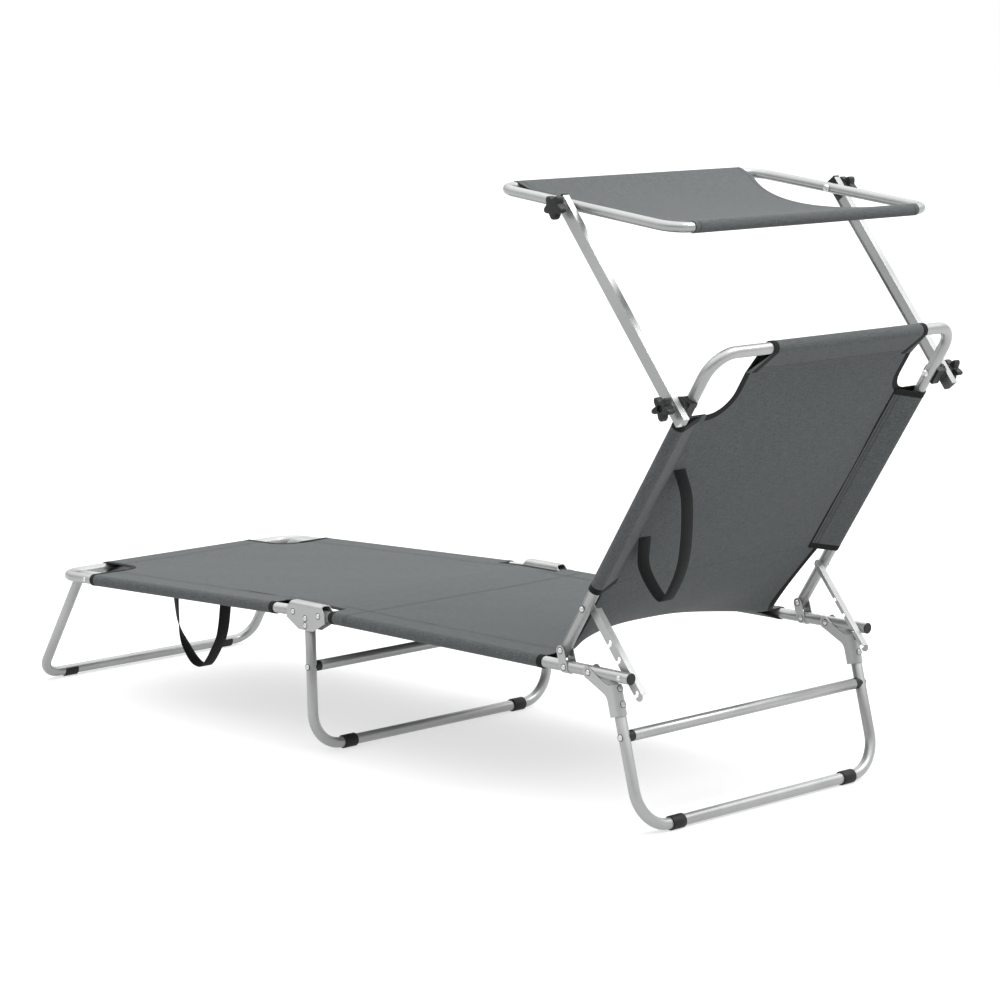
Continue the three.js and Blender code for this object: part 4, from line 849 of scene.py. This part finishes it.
# %% Tape helpers
def sleeve_band(name, body, start, side, at, bar=None):
    """Tape round a pocket's end, from the hem under the cloth over the tube to the top of the panel."""
    shell = sling_pocket(0.0001, 0.0006)
    rows, uv = [], []
    lengths = arc_lengths(shell)
    for y in spaced(start, start + TAPE_WIDTH, 0.0025):
        rows.append([(y, bar + p.x, p.y) if bar else (side * (RAIL + p.x), y, p.y) for p in shell])
        uv += [(length, y) for length in lengths]
    trim(name, body, rows, at, uv)


def edge_tape(name, body, edge, inward, at):
    """Tape along an edge: edge is a list of points, inward the direction into the cloth at each."""
    rows, uv = [], []
    lengths = arc_lengths(edge)
    for k in range(6):
        aside = -TAPE_OVER + (TAPE_WIDTH + TAPE_OVER) * k / 5
        rows.append([tuple(Vector(p) + Vector(n) * aside) for p, n in zip(edge, inward)])
        uv += [(aside, length) for length in lengths]
    trim(name, body, rows, at, uv)


def bite_tapes(stem, body, sleeve_end, bar, bites, height, at):
    """Tape round both corner cut-outs and the pocket ends beside them."""
    for side, s in both:
        bite = half, bar_end, radius = bites[side]
        ys = [sleeve_end + radius * (1 - cos(pi / 2 * k / 14)) for k in range(15)]
        ys += spaced(ys[-1], bar - 0.002, 0.006)[1:]
        edge = [(s * bite_edge(y, sleeve_end, bar, bite), y) for y in ys]
        points = [(x, y, height(x, y)) for x, y in edge]
        inward = []
        for k in range(len(edge)):
            a, b = edge[max(0, k - 1)], edge[min(len(edge) - 1, k + 1)]
            tangent = Vector((b[0] - a[0], b[1] - a[1], 0)).normalized()
            inward.append((-s * tangent.y, s * tangent.x, 0))
        edge_tape(f"{stem}_bite_tape_{side}", body, points, inward, at)
        start = sleeve_end - TAPE_WIDTH + TAPE_OVER
        sleeve_band(f"{stem}_sleeve_tape_{side}", body, start, s, at)
        start = s * bar_end - (TAPE_WIDTH if s > 0 else 0) + s * TAPE_OVER
        sleeve_band(f"{stem}_bar_tape_{side}", body, start, s, at, bar)
        edge = [(s * x, sleeve_end, SHEET) for x in spaced(half + radius, RAIL, 0.008)]
        edge_tape(f"{stem}_shoulder_tape_{side}", body, edge, [(0, -1, 0)] * len(edge), at)


# %% [markdown]
# ## Seat, back and foot slings
# The seams are stitched in the weave's material, at places measured on the flat cloth.

# %% Slings
HEM = SECTION_WIDTH / 2
HEM_RUN = arc_lengths(sling_pocket())[-1]
SEAMS = (RAIL - POCKET + 0.004, RAIL - POCKET + 0.010, HEM - 0.006, HEM - 0.012)
side_lines = [("u", s * v) for _, s in both for v in SEAMS]
seat_lines = side_lines + [("v", 0.064), ("v", 0.070)]
FOOT_BITES = dict.fromkeys(("right", "left"), (0.172, 0.172, 0.038))
BACK_BITES = {"right": (0.169, 0.156, 0.042), "left": (0.209, 0.194, 0.036)}
SEAT_SLEEVE, FOOT_SLEEVE, BACK_SLEEVE = 0.0245, (0.0555, 0.5755), (0.120, 0.445)
BAR_CLOTH = 0.085       # cloth that goes round an end bar to its hem


def seat_height(x, y):
    return panel_height(x, y, 0.0, seat_end(x), 0.4)


def mid_height(x, y):
    return SHEET


def foot_height(x, y):
    return panel_height(x, y, 0.0, FOOT_BAR, 1.7)


def back_height(x, y):
    return panel_height(x, y, BACK_SLEEVE[0], TOP_BAR, 2.9)


def waist_rows(start, end, height):
    """Rows of the narrow part between the pockets' ends and a fold."""
    xs = spaced(-WAIST, WAIST, 0.009)
    ys = spaced(start, end, 0.006)
    return [[(x, y, height(x, y)) for x in xs] for y in ys], [(x, y) for y in ys for x in xs]


def bar_lines(bar):
    places = (0.004 - POCKET, 0.010 - POCKET, HEM_RUN - 0.005, HEM_RUN - 0.011)
    return [("v", bar + place) for place in places]


cloth_piece("seat", "seat_frame", "seat_sling",
            [sling_rows(SEAT_SLEEVE, SEAT_END, seat_height, seat_end),
             waist_rows(0.0, SEAT_SLEEVE, seat_height)], SEAT,
            (SECTION_WIDTH, SEAT_END), ["rail_right", "rail_left"], seat_lines, HEM)
cloth_piece("mid", "mid_leg", "sling_mid", [waist_rows(-PIVOTS / 2, PIVOTS / 2, mid_height)], MID,
            (2 * WAIST, PIVOTS), ["seat_cloth", "foot_cloth"])
cloth_piece("foot", "foot_frame", "foot_sling",
            [sling_rows(*FOOT_SLEEVE, foot_height), waist_rows(-0.0004, FOOT_SLEEVE[0], foot_height),
             end_rows(FOOT_SLEEVE[1], FOOT_BAR, FOOT_BITES, foot_height)], FOOT,
            (SECTION_WIDTH, FOOT_BAR + BAR_CLOTH), ["foot_tube"], side_lines + bar_lines(FOOT_BAR), HEM)
cloth_piece("back", "backrest", "back_sling",
            [sling_rows(*BACK_SLEEVE, back_height),
             end_rows(BACK_SLEEVE[1], TOP_BAR, BACK_BITES, back_height)], BACK,
            (SECTION_WIDTH, TOP_BAR - BACK_SLEEVE[0] + BAR_CLOTH), ["back_tube"],
            side_lines + bar_lines(TOP_BAR), HEM)

# %% [markdown]
# ## Cloth between seat and backrest
# It leaves the seat's plane along the curved bay, rises to the backrest, and bends with it.

# %% Bridge
bridge_to = BACK @ Vector((0, BACK_SLEEVE[0] - 0.0003, SHEET))
DOWN = BACK.to_3x3() @ Vector((0, -1, 0))
bridge_bend = bridge_to + DOWN * ((bridge_to.z - (SEAT @ Vector((0, 0, SHEET))).z) / -DOWN.z)


def bridge_point(x, v):
    a = SEAT @ Vector((x, seat_end(x) + 0.0001, SHEET))
    b, c = Vector((x, *bridge_bend[1:])), Vector((x, *bridge_to[1:]))
    point = a.lerp(b, v).lerp(b.lerp(c, v), v)
    return point + Vector((0, 0.8, -0.6)) * 0.0006 * sin(26 * x + 5 * v) * 4 * v * (1 - v)


bridge_steps = [k / 26 for k in range(27)]
bridge_xs = spaced(-WAIST, WAIST, 0.009)
bridge_run = arc_lengths([bridge_point(0, v) for v in bridge_steps])
bridge_start = SEAT @ Vector((0, SEAT_END, SHEET))


def drawn_in(s, v):
    """Share of its half width that the cloth keeps where its free edge curves in, less on the right."""
    return 1 - (0.008 if s > 0 else 0.026) / WAIST * 4 * v * (1 - v)


bridge_rows = [[tuple(bridge_point(x * drawn_in(x, v), v)) for x in bridge_xs] for v in bridge_steps]
bridge_uv = [(x, seat_end(x) + run) for run in bridge_run for x in bridge_xs]
bridge_cloth = cloth_piece("bridge", None, "sling_bridge", [(bridge_rows, bridge_uv)], None,
                           (2 * WAIST, bridge_run[-1]), ["seat_cloth", "back_cloth"])
for side, s in both:
    rows = [[tuple(bridge_point(s * (WAIST * drawn_in(s, v) - TAPE_WIDTH * k / 4 + TAPE_OVER), v))
             for v in bridge_steps] for k in range(5)]
    uv = [(0.0025 * k, run) for k in range(5) for run in bridge_run]
    trim("bridge_tape_" + side, None, rows, None, uv, 0.0024)
for piece in [bridge_cloth, *TRIMS["bridge_cloth"]]:
    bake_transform(piece, "seat_frame", "backrest", start=tuple(bridge_start), end=tuple(bridge_to))
print("bridge runs", round(bridge_run[-1], 4), "m")

# %% Tapes
bite_tapes("foot", "foot_frame", FOOT_SLEEVE[1], FOOT_BAR, FOOT_BITES, foot_height, FOOT)
bite_tapes("back", "backrest", BACK_SLEEVE[1], TOP_BAR, BACK_BITES, back_height, BACK)
for side, s in both:
    sleeve_band("seat_tape_foot_" + side, "seat_frame", SEAT_SLEEVE + 0.001, s, SEAT)
    sleeve_band("seat_tape_head_" + side, "seat_frame", SEAT_END - TAPE_WIDTH + TAPE_OVER, s, SEAT)
    sleeve_band("foot_tape_" + side, "foot_frame", FOOT_SLEEVE[0] - TAPE_OVER, s, FOOT)
    sleeve_band("back_tape_" + side, "backrest", BACK_SLEEVE[0] - TAPE_OVER, s, BACK)
    for stem, body, low, high, height, at in (
            ("seat", "seat_frame", 0.0, SEAT_SLEEVE, seat_height, SEAT),
            ("foot", "foot_frame", 0.0, FOOT_SLEEVE[0], foot_height, FOOT),
            ("mid", "mid_leg", -PIVOTS / 2, PIVOTS / 2, mid_height, MID)):
        edge = [(s * WAIST, y, height(s * WAIST, y)) for y in spaced(low, high, 0.006)]
        edge_tape(f"{stem}_waist_tape_{side}", body, edge, [(-s, 0, 0)] * len(edge), at)
print("tapes", {cloth: len(tapes) for cloth, tapes in TRIMS.items()})

# %% [markdown]
# ## Canopy cloth
# One sheet with a pocket round each long bar, a little slack between them. Its free edges are drawn in.

# %% Canopy
CANOPY_SLEEVE = CANOPY_TUBE + GAP + 0.0005
CANOPY_HALF, CANOPY_POCKET, CANOPY_HEM = 0.252, 0.030, 0.010
CANOPY_SAG, EDGE_CURVE = 0.026, 0.060
SPAN = CANOPY_HEAD - CANOPY_FOOT
LEAVE = atan(4 * CANOPY_SAG / SPAN)      # slope of the cloth where it leaves a bar
TILT_X, TILT_Y = cos(LEAVE), sin(LEAVE)
canopy_hems = [Vector((p.x * TILT_X - p.y * TILT_Y, p.x * TILT_Y + p.y * TILT_X))
               for p in pocket(CANOPY_SLEEVE, CANOPY_SLEEVE, CANOPY_POCKET, CANOPY_SLEEVE - 0.0012)]
TOP_EDGE = canopy_hems[0]


def canopy_point(x_share, y, z, sagging):
    """Point of the canopy's cloth, at the given height in a pocket and on the sag's curve between them."""
    free = (y - CANOPY_FOOT - CANOPY_POCKET) / (SPAN - 2 * CANOPY_POCKET)
    open_part = max(0.0, 4 * free * (1 - free))
    x = x_share * (CANOPY_HALF - EDGE_CURVE * open_part)
    if not sagging:
        return (x, y, z)
    share = (y - CANOPY_FOOT) / SPAN
    wave = 0.0008 * sin(23 * x + 9 * y) * open_part
    return (x, y, CANOPY_SLEEVE / TILT_X - CANOPY_SAG * 4 * share * (1 - share) + wave)


canopy_route = [(CANOPY_FOOT - p.x, p.y, False) for p in reversed(canopy_hems)]
free_ys = spaced(CANOPY_FOOT - TOP_EDGE.x, CANOPY_HEAD + TOP_EDGE.x, 0.008)[1:-1]
canopy_route += [(y, 0.0, True) for y in free_ys]
canopy_route += [(CANOPY_HEAD + p.x, p.y, False) for p in canopy_hems]
canopy_run = arc_lengths([canopy_point(0, y, z, sagging) for y, z, sagging in canopy_route])
shares = [-1 + 2 * k / 56 for k in range(57)]
canopy_rows = [[canopy_point(share, y, z, sagging) for share in shares] for y, z, sagging in canopy_route]
canopy_uv = [(share * CANOPY_HALF, run) for run in canopy_run for share in shares]
canopy_lines = [("v", canopy_run[6]), ("v", canopy_run[-7])]
canopy_lines += [("u", s * (CANOPY_HALF - CANOPY_HEM)) for _, s in both]
cloth_piece("canopy", "canopy", "canopy_fabric", [(canopy_rows, canopy_uv)], CANOPY,
            (2 * CANOPY_HALF, canopy_run[-1]), ["canopy_loop"], canopy_lines, thickness=0.001)

# %% [markdown]
# ## Straps
# Each strap is flat webbing that hangs in a loop under its cloth. The foot one gets a mesh of its own.


# %% Straps
def strap(name, body, node, x, route, twists, at):
    """Flat webbing along a smooth curve through a route in the plane across X."""
    curve = [Vector((x, y, z)) for y, z in route]
    points, turns = [], []
    padded = [2 * curve[0] - curve[1], *curve, 2 * curve[-1] - curve[-2]]
    for i in range(len(curve) - 1):
        p0, p1, p2, p3 = padded[i:i + 4]
        for k in range(12 if i < len(curve) - 2 else 13):
            t = k / 12
            points.append(0.5 * (2 * p1 + (p2 - p0) * t + (2 * p0 - 5 * p1 + 4 * p2 - p3) * t ** 2
                                 + (3 * p1 - p0 - 3 * p2 + p3) * t ** 3))
            turns.append(radians(twists[i] + (twists[i + 1] - twists[i]) * t))
    half, thin = 0.0125, 0.0008
    outline = [(-half, -thin * 0.4), (-half + 0.0006, -thin), (half - 0.0006, -thin), (half, -thin * 0.4)]
    outline += [(-a, -b) for a, b in outline]
    rings, uv = [], []
    lengths = arc_lengths(points)
    for k, point in enumerate(points):
        heading = (points[min(k + 1, len(points) - 1)] - points[max(0, k - 1)]).normalized()
        across = Matrix.Rotation(turns[k], 3, heading) @ Vector((1, 0, 0))
        up = heading.cross(across)
        rings.append([point + across * a + up * b for a, b in outline])
        uv += [(a, lengths[k]) for a, _ in outline]
    verts, faces = ring_mesh(rings)
    obj = new_piece(name, body, "webbing", WEB, verts, faces, uv, at)
    print(name, "length", round(lengths[-1], 3))
    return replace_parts(obj, node)


under = TUBE - GAP - 0.0008      # a strap's middle where it is sewn to the cloth's underside
strap("back_webbing", "backrest", "back_strap", STRAP_X,
      [(0.341, under), (0.309, -0.031), (0.233, -0.073), (0.170, -0.081), (0.153, -0.069), (0.169, -0.017),
       (0.209, under)], [0] * 7, BACK)
foot_webbing = strap(
    "foot_webbing", "foot_frame", "foot_strap", -STRAP_X,
    [(0.272, under), (0.289, -0.072), (0.312, -0.110), (0.334, -0.135), (0.349, -0.142), (0.373, -0.135),
     (0.400, -0.106), (0.417, -0.066), (0.421, under)], [0, 0, 0, 0, 0, 5, 20, 60, 80], FOOT)
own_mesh(foot_webbing)

# %% [markdown]
# ## Sheets
# Every cloth is listed with its flat size, its area and what it is stretched on, and the tapes sewn to it are
# listed by its name. This cell prints how many cloths there are.

# %% Sheets
print("sheets", len(SHEETS))

# %% [markdown]
# ## Floor, light and camera
# The camera stands where the photo was taken from.

# %% Stage
bpy.ops.mesh.primitive_plane_add(size=60, location=(0, 0, 0))
floor = bpy.context.object
floor.name = "floor"
floor_material, g, surface = new_material("pale_floor")
# A floor with some light of its own, as in a white studio.
g.fill(surface, {"Base Color": tone((0.36, 0.36, 0.36)), "Emission Color": tone((1, 1, 1)),
                 "Emission Strength": 0.6, "Roughness": 1.0, "Specular IOR Level": 0.0})
floor.data.materials.append(floor_material)

# A white room that is brighter overhead than at the horizon, and dimmer on one side.
world = bpy.data.worlds.new("studio")
scene.world = world
world.use_nodes = True
g = Graph(world.node_tree)
sky = world.node_tree.nodes["Background"]
sky.inputs["Color"].default_value = (1, 1, 1, 1)
way = g.add("ShaderNodeTexCoord").outputs["Generated"]
up = g.add("ShaderNodeSeparateXYZ", {0: way}).outputs["Z"]
overhead = g.ramp(up, 0.1, 1.0, 0.0, 2.0)
flag = g.add("ShaderNodeVectorMath", {0: way, 1: (0.68, 0.73, 0.0)}, operation="DOT_PRODUCT").outputs["Value"]
horizon = g.math("MULTIPLY", g.ramp(up, 0.01, 0.06, 1.0, 0.78), g.ramp(flag, 0.6, 0.95, 1.0, 0.4))
g.put(sky.inputs["Strength"], g.math("ADD", overhead, horizon))

key_data = bpy.data.lights.new("key", "AREA")
key_data.size = 1.6
key_data.energy = 85
key = bpy.data.objects.new("key", key_data)
scene.collection.objects.link(key)
key.location = (-1.5, 2.2, 3.4)
key.rotation_euler = (Vector((0, 0, 0.3)) - key.location).to_track_quat("-Z", "Y").to_euler()

camera_data = bpy.data.cameras.new("camera")
camera_data.lens = 114.3
camera_data.sensor_width = 36
camera = bpy.data.objects.new("camera", camera_data)
scene.collection.objects.link(camera)
camera.location = (3.608, 4.0125 - SHIFT, 1.247)
look = (Vector((-0.5295, -0.3885 - SHIFT, 0.2985)) - camera.location).to_track_quat("-Z", "Y")
ROLL = radians(-0.51)
camera.rotation_euler = (look.to_matrix() @ Matrix.Rotation(ROLL, 3, "Z")).to_euler()
scene.camera = camera
scene.view_settings.view_transform = "Standard"
print("camera at", tuple(round(v, 3) for v in camera.location))
